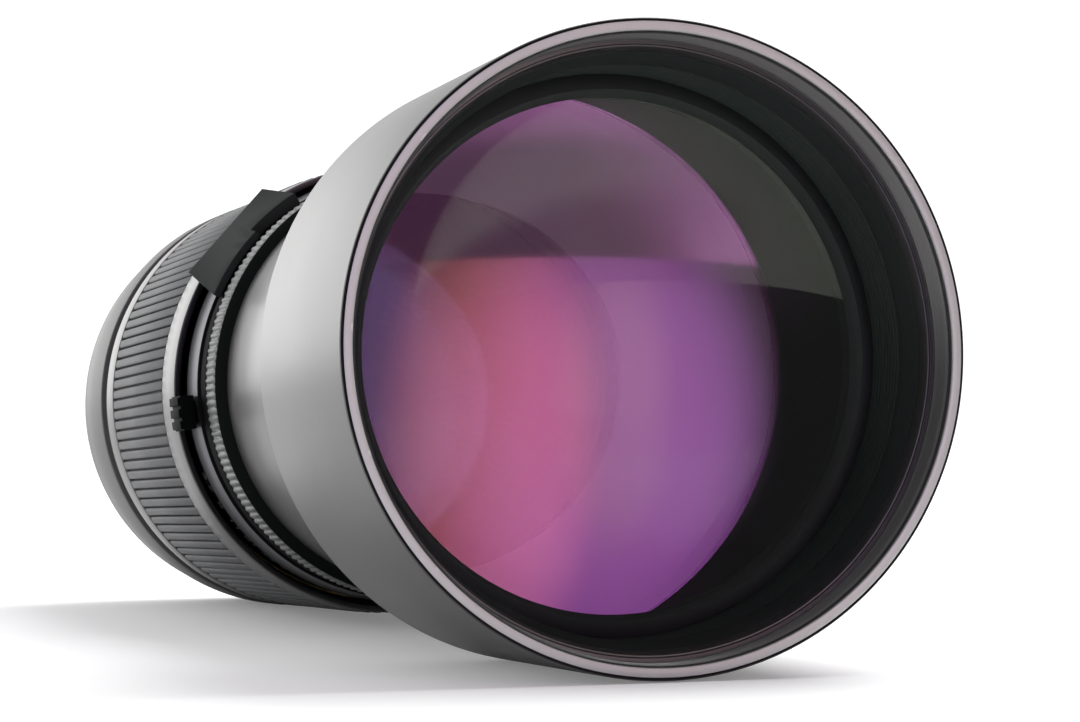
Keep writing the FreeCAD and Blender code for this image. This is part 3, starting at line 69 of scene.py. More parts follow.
# Tube and control rings
TUBE_BORE, TUBE_FRONT_RADIUS, TUBE_REAR_RADIUS = 32.5, 35.6, 34.85
SEAT_BORE, TURNING_BORE = 33.43, 33.45
COVER_FRONT, COVER_REAR, COVER_RADIUS = 113.4, 115.0, 36.6
SPEED_FRONT, SPEED_REAR, SPEED_TEETH = 115.2, 121.8, 180
APERTURE_FRONT, APERTURE_REAR = 122.0, 127.7
APERTURE_CREST, APERTURE_ROOT = 36.3, 36.1
SCALE_FRONT, SCALE_BAND_END, SCALE_EDGE, SCALE_RADIUS = 127.9, 133.3, 133.9, 37.4
SLEEVE_RADIUS, SLEEVE_BORE, SLEEVE_FRONT, SLEEVE_REAR = 37.0, 36.0, 134.0, 142.1

# The lens lies on its rim and near the end of its grip
GRIP_CONTACT, FLOOR_DROP = 190.0, 45.2

# Stop numbers on the sleeve and the angles they stand at
STOP_NUMBERS = [("5.6", 206.0), ("8", 213.0), ("11", 219.5), ("16", 226.0), ("22", 232.5),
                ("32", 239.0), ("45", 245.5)]
NUMBER_HEIGHT, NUMBER_PLACE = 3.3, 137.8

# Focus body and rear housing
GRIP_FRONT, GRIP_REAR, GRIP_RIBS, GRIP_BORE = 144.1, 190.1, 128, 38.4
GRIP_ROOT, GRIP_CREST = 39.1, 39.75
FOCUS_FRONT, FOCUS_REAR, FOCUS_RADIUS = 134.7, 196.6, 39.8
SKIRT_BORE, FOCUS_BORE, REAR_BORE = 38.3, 37.35, 37.32
HOUSING_FRONT, HOUSING_STEP, HOUSING_REAR = 192.3, 201.7, 226.6
HOUSING_RADIUS, HOUSING_NECK, HOUSING_BORE = 39.9, 38.9, 31.93


def y_at(place):
    return (place - FLANGE) * MM


def polar(radius, angle, place):
    turn = math.radians(angle)
    return Vector((radius * MM * math.cos(turn), y_at(place), radius * MM * math.sin(turn)))


# Shader arithmetic: a socket whose operators add Math nodes
class Socket:
    def __init__(self, finish, output):
        self.finish = finish
        self.output = output

    def math(self, operation, *values):
        return self.finish.add("ShaderNodeMath", {"operation": operation}, dict(enumerate(values)))

    def __add__(self, other):
        return self.math("ADD", self, other)

    def __radd__(self, other):
        return self.math("ADD", other, self)

    def __sub__(self, other):
        return self.math("SUBTRACT", self, other)

    def __rsub__(self, other):
        return self.math("SUBTRACT", other, self)

    def __mul__(self, other):
        return self.math("MULTIPLY", self, other)

    def __rmul__(self, other):
        return self.math("MULTIPLY", other, self)

    def __truediv__(self, other):
        return self.math("DIVIDE", self, other)

    def __pow__(self, other):
        return self.math("POWER", self, other)

    def sine(self):
        return self.math("SINE", self)

    def clamp(self, low=0.0, high=1.0):
        return self.math("MINIMUM", self.math("MAXIMUM", self, low), high)

    def step(self, low, high):
        """0 below low, 1 above high, smooth between them."""
        settings = {"interpolation_type": "SMOOTHSTEP"}
        inputs = {"Value": self, "From Min": low, "From Max": high}
        return self.finish.add("ShaderNodeMapRange", settings, inputs)

    def band(self, low, high, soft=0.04):
        """1 between low and high, 0 outside them."""
        return self.step(low - soft, low + soft) * (1.0 - self.step(high - soft, high + soft))


class Finish:
    """One material, built node by node."""

    def __init__(self, name, color, roughness, metallic=0.0, gloss=0.5):
        self.material = bpy.data.materials.new(name)
        self.material.use_nodes = True
        self.material.diffuse_color = (*color, 1.0)
        self.tree = self.material.node_tree
        self.shader = self.tree.nodes["Principled BSDF"]
        self.place = self.add("ShaderNodeTexCoord", {}, {}, "Object")
        self.set("Base Color", (*color, 1.0))
        self.set("Roughness", roughness)
        self.set("Metallic", metallic)
        self.set("Specular IOR Level", gloss)

    def add(self, kind, settings, inputs, output=0):
        node = self.tree.nodes.new(kind)
        for name, value in settings.items():
            setattr(node, name, value)
        for name, value in inputs.items():
            if isinstance(value, Socket):
                self.tree.links.new(value.output, node.inputs[name])
            else:
                node.inputs[name].default_value = value
        return Socket(self, node.outputs[output])

    def set(self, name, value):
        if isinstance(value, Socket):
            self.tree.links.new(value.output, self.shader.inputs[name])
        else:
            self.shader.inputs[name].default_value = value

    def noise(self, scale, detail=2.0, at=None):
        inputs = {"Vector": at or self.place, "Scale": scale, "Detail": detail}
        return self.add("ShaderNodeTexNoise", {}, inputs)

    def stretched(self, x, y, z):
        """The piece's own coordinates, stretched along each axis."""
        return self.add("ShaderNodeMapping", {}, {"Vector": self.place, "Scale": (x, y, z)})

    def axis(self, name):
        return self.add("ShaderNodeSeparateXYZ", {}, {"Vector": self.place}, name)

    def radius(self):
        """Distance from the optical axis in millimetres."""
        x = self.axis("X")
        z = self.axis("Z")
        return (x * x + z * z) ** 0.5 / MM

    def depth(self):
        """Place along the optical axis in millimetres behind the front rim."""
        return self.axis("Y") / MM + FLANGE

    def mix(self, mask, first, second):
        settings = {"data_type": "RGBA"}
        first = first if isinstance(first, Socket) else (*first, 1.0)
        second = second if isinstance(second, Socket) else (*second, 1.0)
        return self.add("ShaderNodeMix", settings, {0: mask, 6: first, 7: second}, 2)

    def blend(self, share, other):
        """Mix a share of another shader over the finish's own."""
        own = Socket(self, self.shader.outputs[0])
        both = self.add("ShaderNodeMixShader", {}, {0: share, 1: own, 2: other})
        self.tree.links.new(both.output, self.tree.nodes["Material Output"].inputs["Surface"])

    def bump(self, height, strength, distance):
        inputs = {"Height": height, "Strength": strength, "Distance": distance}
        self.set("Normal", self.add("ShaderNodeBump", {}, inputs))


def scaled(color, share):
    return tuple(share * channel for channel in color)


def satin_metal(name, color, roughness, metallic):
    """Anodised and turned metal: tool lines round the axis, fine blasted grain, slow tone changes."""
    finish = Finish(name, color, roughness, metallic)
    grain = finish.noise(5200.0, 2.0)
    lines = finish.noise(1.0, 3.0, finish.stretched(12.0, 5200.0, 12.0))
    cloud = finish.noise(38.0, 3.0)
    finish.set("Roughness", roughness - 0.05 + 0.06 * cloud + 0.05 * lines)
    tone = (0.35 + 0.9 * cloud + 0.15 * lines).clamp()
    finish.shade = finish.mix(tone, scaled(color, 0.88), scaled(color, 1.08))
    finish.set("Base Color", finish.shade)
    finish.bump(grain * 0.5 + lines * 0.5, 0.1, 0.00008)
    return finish


def barrel_metal():
    """Barrel finish: a paler turned rim face, painted shade in the notch round it, a few worn spots
    inside.
    """
    finish = satin_metal("barrel_anodised", (0.124, 0.122, 0.122), 0.36, 0.75)
    near = 1.0 - finish.depth().step(0.4, 0.6)
    face = near * finish.radius().band(*RIM_FACE, 0.03)
    groove_shade = near * finish.radius().band(*RIM_GROOVE, 0.03)
    inner_edge = near * finish.radius().band(43.1, 43.55, 0.1)
    left_side = 1.0 - finish.axis("X").step(-0.036, -0.028)
    wear_and_crest_shade = inner_edge * finish.noise(420.0, 3.0).step(0.64, 0.68) * left_side
    shade = finish.mix(face, finish.shade, (0.54, 0.55, 0.54))
    shade = finish.mix(wear_and_crest_shade, shade, (0.75, 0.75, 0.73))
    # Painted shade: the real notch round the rim face is coloured near black, darker than its own
    # shadow makes it.
    finish.set("Base Color", finish.mix(groove_shade, shade, (0.004, 0.005, 0.005)))
    finish.set("Metallic", 0.75 - 0.5 * face)
    return finish


def focus_metal():
    """Focus ring finish, black on its front face and inside its skirt."""
    finish = satin_metal("focus_anodised", (0.12, 0.118, 0.116), 0.36, 0.7)
    inside = 1.0 - finish.radius().step(39.12, 39.2)
    finish.set("Base Color", finish.mix(inside, finish.shade, (0.004, 0.004, 0.005)))
    finish.set("Metallic", 0.75 * (1.0 - inside))
    return finish


def scale_metal():
    """Scale ring: a pale satin band in front, matt black sleeve behind it."""
    finish = satin_metal("scale_satin", (0.13, 0.13, 0.138), 0.36, 0.7)
    band = finish.depth().band(128.0, 133.25, 0.05)
    finish.set("Base Color", finish.mix(band, (0.005, 0.005, 0.006), finish.shade))
    finish.set("Metallic", 0.7 * band)
    finish.set("Roughness", 0.6 - 0.24 * band)
    finish.set("Specular IOR Level", 0.12)
    return finish


def paint(name, color, roughness, gloss=0.12, grain_depth=0.15, dust_share=0.05):
    """Enamel or blackened metal with a fine grain and faint dust."""
    finish = Finish(name, color, roughness, gloss=gloss)
    grain = finish.noise(4200.0, 2.0)
    cloud = finish.noise(60.0, 3.0)
    dust = finish.noise(2600.0, 1.0).step(0.74, 0.8)
    shade = finish.mix((0.3 + cloud * 0.8).clamp(), scaled(color, 0.8), scaled(color, 1.2))
    finish.set("Base Color", finish.mix(dust * dust_share, shade, (0.4, 0.4, 0.38)))
    finish.set("Roughness", roughness - 0.04 + 0.1 * cloud)
    finish.bump(grain, grain_depth, 0.00006)
    return finish


def matt_inside():
    """Matt black paint that traps light, over fine turned grooves half a millimetre apart."""
    color = (0.01, 0.01, 0.01)
    finish = Finish("inside_black", color, 0.75, gloss=0.15)
    wave = (finish.depth() * (2 * math.pi / 0.5)).sine()
    cloud = finish.noise(80.0, 3.0)
    finish.set("Base Color", finish.mix(cloud, scaled(color, 0.8), scaled(color, 1.3)))
    finish.set("Roughness", 0.62 + 0.2 * cloud)
    finish.bump(wave * 0.5 + finish.noise(3000.0, 1.0) * 0.3, 0.35, 0.0002)
    return finish


def ground_steel(name, color, roughness):
    finish = Finish(name, color, roughness, 1.0)
    lines = finish.noise(1.0, 2.0, finish.stretched(400.0, 9000.0, 400.0))
    cloud = finish.noise(220.0, 2.0)
    finish.set("Base Color", finish.mix(cloud, scaled(color, 0.8), scaled(color, 1.15)))
    finish.set("Roughness", roughness - 0.06 + 0.14 * lines)
    finish.bump(lines, 0.15, 0.00004)
    return finish


def grip_rubber():
    """Ribbed grip with painted shade: a soft grey on the broad crests and dark in the grooves."""
    finish = Finish("grip_rubber", (0.1, 0.103, 0.107), 0.6, gloss=0.2)
    crest = finish.radius().step(39.3, 39.62)
    cloud = finish.noise(120.0, 3.0)
    wear_and_crest_shade = crest * (0.6 + 0.4 * cloud)
    # Painted shade: the grooves are coloured near black and the crests grey, with a random cloud of
    # tone, so the ribs look lit on top and shaded between.
    finish.set("Base Color", finish.mix(wear_and_crest_shade.clamp(), (0.028, 0.028, 0.03), (0.162, 0.166, 0.17)))
    finish.set("Roughness", 0.66 - 0.08 * crest + 0.06 * cloud)
    finish.bump(finish.noise(6000.0, 2.0), 0.15, 0.00006)
    return finish


def clear_glass(name, tint, reflection):
    """Coated glass that lets nearly all light through."""
    finish = Finish(name, tint, 0.0)
    finish.set("Transmission Weight", 1.0)
    finish.set("IOR", 1.52)
    finish.set("Specular Tint", (*reflection, 1.0))
    return finish


def front_glass():
    """Front element: its front face is coated better than its rear face, so it mirrors less."""
    clear = (0.97, 0.98, 0.97)
    finish = clear_glass("front_glass", clear, (0.18, 0.2, 0.18))
    rear = finish.add("ShaderNodeBsdfPrincipled", {}, {
        "Base Color": (*clear, 1.0), "Roughness": 0.0, "Transmission Weight": 1.0, "IOR": 1.52,
        "Specular Tint": (0.8, 0.85, 0.72, 1.0)})
    finish.blend(finish.depth().step(23.4, 23.6), rear)
    return finish


def violet_glass(name, index, share, middle, edge, reach, roughness):
    """Inner element: its coating mirrors a share of the light, redder at its middle."""
    finish = clear_glass(name, (0.97, 0.98, 0.97), (0.1, 0.1, 0.1))
    finish.set("IOR", index)
    haze = finish.noise(26.0, 3.0)
    tone = (finish.radius() / reach * 0.8 + haze * 0.2).clamp()
    mirror = finish.add("ShaderNodeBsdfPrincipled", {}, {
        "Base Color": finish.mix(tone, middle, edge), "Metallic": 1.0, "Roughness": roughness})
    finish.blend(share, mirror)
    return finish


def scale_white():
    finish = Finish("scale_white", (0.5, 0.51, 0.52), 0.5)
    worn = finish.noise(2500.0, 2.0)
    finish.set("Base Color", finish.mix(worn, (0.4, 0.41, 0.42), (0.6, 0.61, 0.62)))
    finish.bump(worn, 0.1, 0.00004)
    return finish


BARREL = barrel_metal()
TUBE = satin_metal("tube_anodised", (0.108, 0.107, 0.107), 0.32, 0.75)
REAR = satin_metal("rear_anodised", (0.105, 0.104, 0.102), 0.5, 0.4)
RING = satin_metal("ring_anodised", (0.1, 0.1, 0.099), 0.32, 0.75)
FOCUS = focus_metal()
TEETH = satin_metal("teeth_turned", (0.12, 0.122, 0.122), 0.45, 0.6)
SCALE = scale_metal()
BLACK = paint("control_black", (0.005, 0.006, 0.006), 0.62, 0.04)
TAB = paint("tab_black", (0.004, 0.005, 0.005), 0.6, 0.03)
BLOCK = paint("index_grey", (0.02, 0.024, 0.023), 0.55, 0.12)
GLOSS = paint("name_ring_black", (0.019, 0.023, 0.022), 0.4, 0.25)
WALL = paint("cell_black", (0.026, 0.034, 0.03), 0.55, 0.15, 0.0, 0.0)
SOFT_RING = paint("retaining_black", (0.034, 0.038, 0.036), 0.55, 0.2)
INSIDE = matt_inside()
# Painted reflection: the inner cell is coloured a light violet grey, far paler than black paint, so
# that the glasses show a violet veil off it.
FUNNEL = paint("inner_cell_painted_veil", (0.5, 0.38, 0.5), 0.75, 0.15, 0.0, 0.0)
STEEL = ground_steel("ground_steel", (0.5, 0.5, 0.51), 0.3)
BLADE = ground_steel("blued_blade", (0.07, 0.07, 0.08), 0.36)
SCREW = ground_steel("screw_steel", (0.3, 0.3, 0.31), 0.34)
CHROME = ground_steel("satin_chrome", (0.46, 0.46, 0.47), 0.28)
BRASS = ground_steel("turned_brass", (0.66, 0.5, 0.24), 0.3)
INNER = satin_metal("helicoid_anodised", (0.07, 0.07, 0.071), 0.38, 0.7)
GRIP = grip_rubber()
FRONT = front_glass()
CLEAR = clear_glass("clear_glass", (0.97, 0.98, 0.97), (0.95, 1.0, 0.92))
COATED = violet_glass("violet_coating", 1.5, 0.145, (0.84, 0.28, 0.5), (0.75, 0.24, 0.74),
                      SECOND_GLASS[0], 0.05)
DEEP = violet_glass("blue_coating", 1.6, 0.075, (0.4, 0.35, 0.95), (0.35, 0.3, 0.9),
                    THIRD_GLASS[0], 0.06)
WHITE = scale_white()


# Modelling helpers
def ready(piece, finish, body, nodes=(), smooth=30.0):
    """Finish a piece: place in its mesh, shading, material, body and the nodes it stands for."""
    bpy.ops.object.select_all(action="DESELECT")
    piece.select_set(True)
    bpy.context.view_layer.objects.active = piece
    bpy.ops.object.transform_apply(location=True, rotation=True, scale=True)
    bpy.ops.object.shade_smooth_by_angle(angle=math.radians(smooth))
    piece.data.materials.clear()
    piece.data.materials.append(finish.material)
    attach(piece, body)
    if nodes:
        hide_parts(*nodes)
    piece.select_set(False)
    return piece


def apply_modifiers(piece):
    bpy.context.view_layer.objects.active = piece
    for modifier in list(piece.modifiers):
        bpy.ops.object.modifier_apply(modifier=modifier.name)


def soften(piece, width, angle=18.0, segments=2):
    """Break the sharp edges of a piece."""
    bevel = piece.modifiers.new("soften", "BEVEL")
    bevel.width = width * MM
    bevel.segments = segments
    bevel.limit_method = "ANGLE"
    bevel.angle_limit = math.radians(angle)
    apply_modifiers(piece)
    return piece


def trace(name, corners, closed):
    """Draw an outline by extruding one point from corner to corner; stays in edit mode.
    The point is a small plane merged to its middle."""
    bpy.ops.object.select_all(action="DESELECT")
    bpy.ops.mesh.primitive_plane_add(size=0.001, location=corners[0])
    piece = bpy.context.active_object
    piece.name = name
    bpy.ops.object.transform_apply(location=True, rotation=True, scale=True)
    bpy.ops.object.mode_set(mode="EDIT")
    bpy.ops.mesh.select_mode(type="VERT")
    bpy.ops.mesh.select_all(action="SELECT")
    bpy.ops.mesh.merge(type="CENTER")
    route = corners[1:] + corners[:1] if closed else corners[1:]
    last = corners[0]
    for corner in route:
        bpy.ops.mesh.extrude_vertices_move(TRANSFORM_OT_translate={"value": corner - last})
        last = corner
    bpy.ops.mesh.select_all(action="SELECT")
    bpy.ops.mesh.remove_doubles(threshold=1e-7)
    return piece


def spin(steps):
    bpy.ops.mesh.select_all(action="SELECT")
    bpy.ops.mesh.spin(steps=steps, angle=2 * math.pi, center=(0, 0, 0), axis=(0, 1, 0))
    bpy.ops.mesh.select_all(action="SELECT")
    bpy.ops.mesh.remove_doubles(threshold=1e-6)
    bpy.ops.mesh.normals_make_consistent(inside=False)
    bpy.ops.object.mode_set(mode="OBJECT")


def lathe(name, outline, bevel=0.12):
    """Spin a closed outline of (radius, place) round the optical axis and break its sharp edges."""
    corners = [Vector((radius * MM, y_at(place), 0)) for radius, place in outline]
    piece = trace(name, corners, True)
    spin(WHEEL)
    return soften(piece, bevel)


def around(piece, copies):
    """Repeat a piece round the optical axis and weld the copies."""
    bpy.ops.object.select_all(action="DESELECT")
    bpy.ops.object.empty_add(location=(0, 0, 0), rotation=(0, 2 * math.pi / copies, 0))
    turn = bpy.context.active_object
    repeat = piece.modifiers.new("repeat", "ARRAY")
    repeat.count = copies
    repeat.use_relative_offset = False
    repeat.use_object_offset = True
    repeat.offset_object = turn
    repeat.use_merge_vertices = True
    repeat.use_merge_vertices_cap = True
    repeat.merge_threshold = 2e-6
    turn.select_set(False)
    piece.select_set(True)
    apply_modifiers(piece)
    bpy.data.objects.remove(turn)
    return piece


def toothed(name, bore, section, front, rear, teeth, chamfer, drop):
    """Ring of straight teeth with chamfered ends.
    The section lists (share of the pitch, radius) across one tooth."""
    pitch = 360.0 / teeth
    corners = [polar(radius, share * pitch, front) for share, radius in section]
    corners += [polar(bore, section[-1][0] * pitch, front), polar(bore, section[0][0] * pitch, front)]
    piece = trace(name, corners, True)
    bpy.ops.mesh.select_all(action="SELECT")
    bpy.ops.mesh.edge_face_add()
    for length in (chamfer, rear - front - 2 * chamfer, chamfer):
        bpy.ops.mesh.extrude_region_move(TRANSFORM_OT_translate={"value": (0, length * MM, 0)})
    bpy.ops.mesh.select_all(action="SELECT")
    bpy.ops.mesh.normals_make_consistent(inside=False)
    mesh = bmesh.from_edit_mesh(piece.data)
    crest = max(radius for share, radius in section)
    root = section[0][1]
    for vertex in mesh.verts:
        at_end = min(abs(vertex.co.y - y_at(front)), abs(vertex.co.y - y_at(rear))) < 1e-6
        vertex.select = at_end and math.hypot(vertex.co.x, vertex.co.z) > (root + 0.02) * MM
    mesh.select_flush(True)
    bmesh.update_edit_mesh(piece.data)
    shrink = (crest - drop) / crest
    bpy.ops.transform.resize(value=(shrink, 1, shrink), center_override=(0, 0, 0))
    mesh = bmesh.from_edit_mesh(piece.data)
    sides = [polar(1.0, section[i][0] * pitch, front) for i in (0, -1)]
    for face in mesh.faces:
        middle = face.calc_center_median()
        flat = Vector((middle.x, 0, middle.z)).normalized()
        side = any((flat - Vector((s.x, 0, s.z)).normalized()).length < 1e-5 for s in sides)
        face.select = side and abs(face.normal.y) < 0.5
    bmesh.update_edit_mesh(piece.data)
    bpy.ops.mesh.delete(type="FACE")
    bpy.ops.object.mode_set(mode="OBJECT")
    return around(piece, teeth)


def sag(radius, depth, at_radius):
    curve = (radius * radius + depth * depth) / (2 * abs(depth))
    return math.copysign(curve - math.sqrt(curve * curve - at_radius * at_radius), depth)


def lens_element(name, radius, front, rear, front_sag, rear_sag):
    """Glass with spherical faces, spun from a half outline that touches the axis."""
    outline = []
    for i in range(GLASS_RINGS + 1):
        r = radius * i / GLASS_RINGS
        outline.append((r, front - front_sag + sag(radius, front_sag, r)))
    for i in range(GLASS_RINGS, -1, -1):
        r = radius * i / GLASS_RINGS
        outline.append((r, rear + rear_sag - sag(radius, rear_sag, r)))
    piece = trace(name, [Vector((r * MM, y_at(place), 0)) for r, place in outline], False)
    spin(GLASS_WHEEL)
    return piece


def rounded_copy(node, name, width):
    """A copy of a CAD node's mesh with its triangles merged into faces and its edges rounded."""
    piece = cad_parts[node].copy()
    piece.data = piece.data.copy()
    piece.name = name
    bpy.context.scene.collection.objects.link(piece)
    bpy.ops.object.select_all(action="DESELECT")
    piece.select_set(True)
    bpy.context.view_layer.objects.active = piece
    bpy.ops.object.mode_set(mode="EDIT")
    bpy.ops.mesh.select_all(action="SELECT")
    bpy.ops.mesh.remove_doubles(threshold=1e-6)
    bpy.ops.mesh.dissolve_limited(angle_limit=math.radians(0.6))
    bpy.ops.object.mode_set(mode="OBJECT")
    return soften(piece, width, 24.0, 3)


# Front barrel and the rings inside its rim
def front_barrel():
    thread = []
    for turn in range(THREAD_TURNS):
        thread.append((THREAD_CREST, 4.6 - THREAD_PITCH * turn))
        thread.append((THREAD_ROOT, 4.2 - THREAD_PITCH * turn))
    rim = [(43.3, 0.0), (44.5, 0.0), (44.54, 0.28), (44.8, 0.3), (44.86, 0.12), (RIM_RADIUS, 0.34)]
    outside = [(44.5, CYLINDER_END), (TUBE_FRONT_RADIUS, CONE_END)]
    inside = [
        (33.93, CONE_END), (33.93, TUBE_FRONT), (35.3, TUBE_FRONT), (BARREL_REAR_BORE, 46.0),
        (BARREL_REAR_BORE, CELL_SHOULDER), (BARREL_BORE, CELL_SHOULDER), (BARREL_BORE, LIP_FRONT),
        (THREAD_CREST, LIP_FRONT),
    ]
    shell = lathe("front_barrel_shell", rim + outside + inside + thread + [(43.15, 0.45)], 0.05)
    ready(shell, BARREL, "optical_unit", ["front_barrel"], 22)


def rings_behind_rim():
    lip = [
        (RING_OUTER, LIP_FRONT), (RING_OUTER, NAME_FRONT), (LIP_BORE, NAME_FRONT),
        (LIP_BORE, 6.9), (41.72, LIP_FRONT),
    ]
    lip_ring = lathe("lip_ring_turned", lip, 0.08)
    ready(lip_ring, RING, "optical_unit", ["lip_ring"])
    face = [
        (LIP_BORE, NAME_FRONT), (RING_OUTER, NAME_FRONT), (RING_OUTER, NAME_REAR),
        (WALL_BORE, NAME_REAR), (40.0, 9.9), (41.1, 7.5),
    ]
    name_ring = lathe("name_ring_bare", face, 0.06)
    ready(name_ring, GLOSS, "optical_unit", ["name_ring"])
    wall = [
        (WALL_BORE, NAME_REAR), (RING_OUTER, NAME_REAR), (RING_OUTER, CELL_SHOULDER),
        (40.0, CELL_SHOULDER), (40.0, 45.5), (34.93, 61.8), (33.63, 61.8), (33.63, 58.3),
        (32.2, 58.3), (32.2, 57.3), (36.23, CELL_SEAT), (FRONT_GLASS_BORE, CELL_SEAT),
        (FRONT_GLASS_BORE, RETAINER_REAR), (WALL_BORE, RETAINER_REAR),
    ]
    for i in range(WALL_STEPS):
        wall += [(WALL_BORE, 19.4 - i), (40.12, 19.2 - i), (40.12, 18.9 - i), (WALL_BORE, 18.7 - i)]
    cell = lathe("front_cell_stepped", wall, 0.05)
    ready(cell, WALL, "optical_unit", ["front_cell"])
    soft = [
        (39.87, 19.7), (39.87, RETAINER_REAR), (FRONT_GLASS_BORE, RETAINER_REAR),
        (FRONT_GLASS_BORE, 20.55), (36.6, 20.55), (36.6, 20.5), (37.55, 18.3),
    ]
    retainer = lathe("front_retaining_turned", soft, 0.2)
    ready(retainer, SOFT_RING, "optical_unit", ["front_retaining_ring"])


def glasses():
    front = lens_element("front_glass", *FRONT_GLASS)
    ready(front, FRONT, "optical_unit", ["front_element"])
    second = lens_element("second_glass", *SECOND_GLASS)
    ready(second, COATED, "optical_unit", ["second_element"])
    third = lens_element("third_glass", *THIRD_GLASS)
    ready(third, DEEP, "optical_unit", ["third_element"])


# Tube and control rings
def tube_and_rings():
    tube = [
        (TUBE_BORE, TUBE_FRONT), (33.9, TUBE_FRONT), (33.9, CONE_END),
        (TUBE_FRONT_RADIUS, CONE_END), (TUBE_REAR_RADIUS, COVER_FRONT), (TUBE_BORE, COVER_FRONT),
    ]
    ready(lathe("main_tube_shell", tube), TUBE, "optical_unit", ["main_tube"])
    cover = [
        (SEAT_BORE, COVER_FRONT), (TUBE_REAR_RADIUS, COVER_FRONT), (COVER_RADIUS, 114.75),
        (COVER_RADIUS, COVER_REAR), (SEAT_BORE, COVER_REAR),
    ]
    cover_ring = lathe("front_cover_turned", cover)
    ready(cover_ring, BLACK, "optical_unit", ["front_cover_ring"])
    aperture = [
        (TURNING_BORE, APERTURE_FRONT), (36.15, APERTURE_FRONT), (APERTURE_CREST, 122.2),
        (APERTURE_CREST, 123.2), (APERTURE_ROOT, 123.4), (APERTURE_ROOT, 123.7),
        (APERTURE_CREST, 123.9), (APERTURE_CREST, 127.5), (APERTURE_ROOT, APERTURE_REAR),
        (TURNING_BORE, APERTURE_REAR),
    ]
    aperture_ring = lathe("aperture_ring_turned", aperture, 0.06)
    ready(aperture_ring, BLACK, "aperture_control", ["aperture_ring"])
    scale = [
        (SEAT_BORE, SCALE_FRONT), (36.7, SCALE_FRONT), (36.82, 128.05),
        (SCALE_RADIUS, SCALE_BAND_END), (SCALE_RADIUS, SCALE_EDGE), (SLEEVE_RADIUS, SCALE_EDGE),
        (SLEEVE_RADIUS, SLEEVE_REAR), (SLEEVE_BORE, SLEEVE_REAR), (SLEEVE_BORE, SLEEVE_FRONT),
        (SEAT_BORE, SLEEVE_FRONT),
    ]
    scale_ring = lathe("scale_ring_turned", scale, 0.08)
    ready(scale_ring, SCALE, "optical_unit", ["scale_ring"])


def speed_ring():
    section = [
        (0.0, 36.56), (0.12, 36.58), (0.26, 36.76), (0.38, 36.84), (0.5, 36.85), (0.62, 36.84),
        (0.74, 36.76), (0.88, 36.58), (1.0, 36.56),
    ]
    piece = toothed("speed_ring_serrated", TURNING_BORE, section, SPEED_FRONT, SPEED_REAR,
                    SPEED_TEETH, 0.9, 0.4)
    ready(piece, TEETH, "speed_control", ["shutter_speed_ring"], 50)


# Focus body and rear housing
def grip():
    section = [
        (0.0, GRIP_ROOT), (0.07, GRIP_ROOT), (0.11, 39.5), (0.18, 39.68), (0.3, 39.73),
        (0.5, GRIP_CREST), (0.7, 39.73), (0.82, 39.68), (0.89, 39.5), (0.93, GRIP_ROOT),
        (1.0, GRIP_ROOT),
    ]
    piece = toothed("grip_ribs", GRIP_BORE, section, GRIP_FRONT, GRIP_REAR, GRIP_RIBS, 0.5, 0.35)
    ready(piece, GRIP, "focus_body", ["grip_sleeve"], 50)


def focus_ring():
    front_lip = [(SKIRT_BORE, FOCUS_FRONT), (39.3, FOCUS_FRONT), (39.42, 134.85), (39.6, GRIP_FRONT)]
    grip_seat = [(38.37, GRIP_FRONT), (38.37, GRIP_REAR)]
    rear_lip = [
        (39.65, GRIP_REAR), (FOCUS_RADIUS, 190.3), (FOCUS_RADIUS, 196.4), (39.6, FOCUS_REAR),
        (REAR_BORE, FOCUS_REAR),
    ]
    inside = [
        (REAR_BORE, 192.5), (38.0, 192.5), (38.0, GRIP_REAR), (FOCUS_BORE, GRIP_REAR),
        (FOCUS_BORE, 141.6), (SKIRT_BORE, 141.6),
    ]
    ring = lathe("focus_ring_turned", front_lip + grip_seat + rear_lip + inside)
    ready(ring, FOCUS, "focus_body", ["focus_ring"])


def rear_housing():
    outside = [
        (34.5, HOUSING_FRONT), (37.27, HOUSING_FRONT), (37.27, 197.1), (HOUSING_NECK, 197.1),
        (HOUSING_NECK, HOUSING_STEP), (39.7, HOUSING_STEP), (HOUSING_RADIUS, 201.95),
        (HOUSING_RADIUS, 212.1), (38.6, HOUSING_REAR),
    ]
    inside = [
        (36.2, HOUSING_REAR), (36.2, 219.1), (HOUSING_BORE, 219.1), (HOUSING_BORE, 200.3),
        (34.5, 200.3),
    ]
    housing = lathe("rear_housing_shell", outside + inside)
    ready(housing, REAR, "mount_body", ["rear_housing"])


def index_and_tab():
    block = rounded_copy("index_block", "index_block_rounded", 0.35)
    ready(block, BLOCK, "optical_unit", ["index_block"])
    tab = rounded_copy("preview_tab", "preview_tab_rounded", 0.5)
    ready(tab, TAB, "preview_control", ["preview_tab"])


def scale_numbers():
    """Pale stop numbers on the sleeve behind the scale ring."""
    copies = []
    for text, angle in STOP_NUMBERS:
        bpy.ops.object.select_all(action="DESELECT")
        bpy.ops.object.text_add(location=(0, 0, 0))
        figure = bpy.context.active_object
        figure.data.body = text
        figure.data.size = NUMBER_HEIGHT * MM
        figure.data.align_x = "CENTER"
        figure.data.extrude = 0.02 * MM
        figure.data.offset = 0.06 * MM
        bpy.ops.object.convert(target="MESH")
        for vertex in figure.data.vertices:
            across, up, out = vertex.co
            turn = angle - math.degrees(across / (SLEEVE_RADIUS * MM))
            vertex.co = polar(SLEEVE_RADIUS + out / MM, turn, NUMBER_PLACE - up / MM)
        copies.append(figure)
    for figure in copies:
        figure.select_set(True)
    bpy.ops.object.join()
    piece = bpy.context.active_object
    piece.name = "scale_numbers"
    bpy.ops.object.mode_set(mode="EDIT")
    bpy.ops.mesh.select_all(action="SELECT")
    bpy.ops.mesh.normals_make_consistent(inside=False)
    bpy.ops.object.mode_set(mode="OBJECT")
    ready(piece, WHITE, "optical_unit")


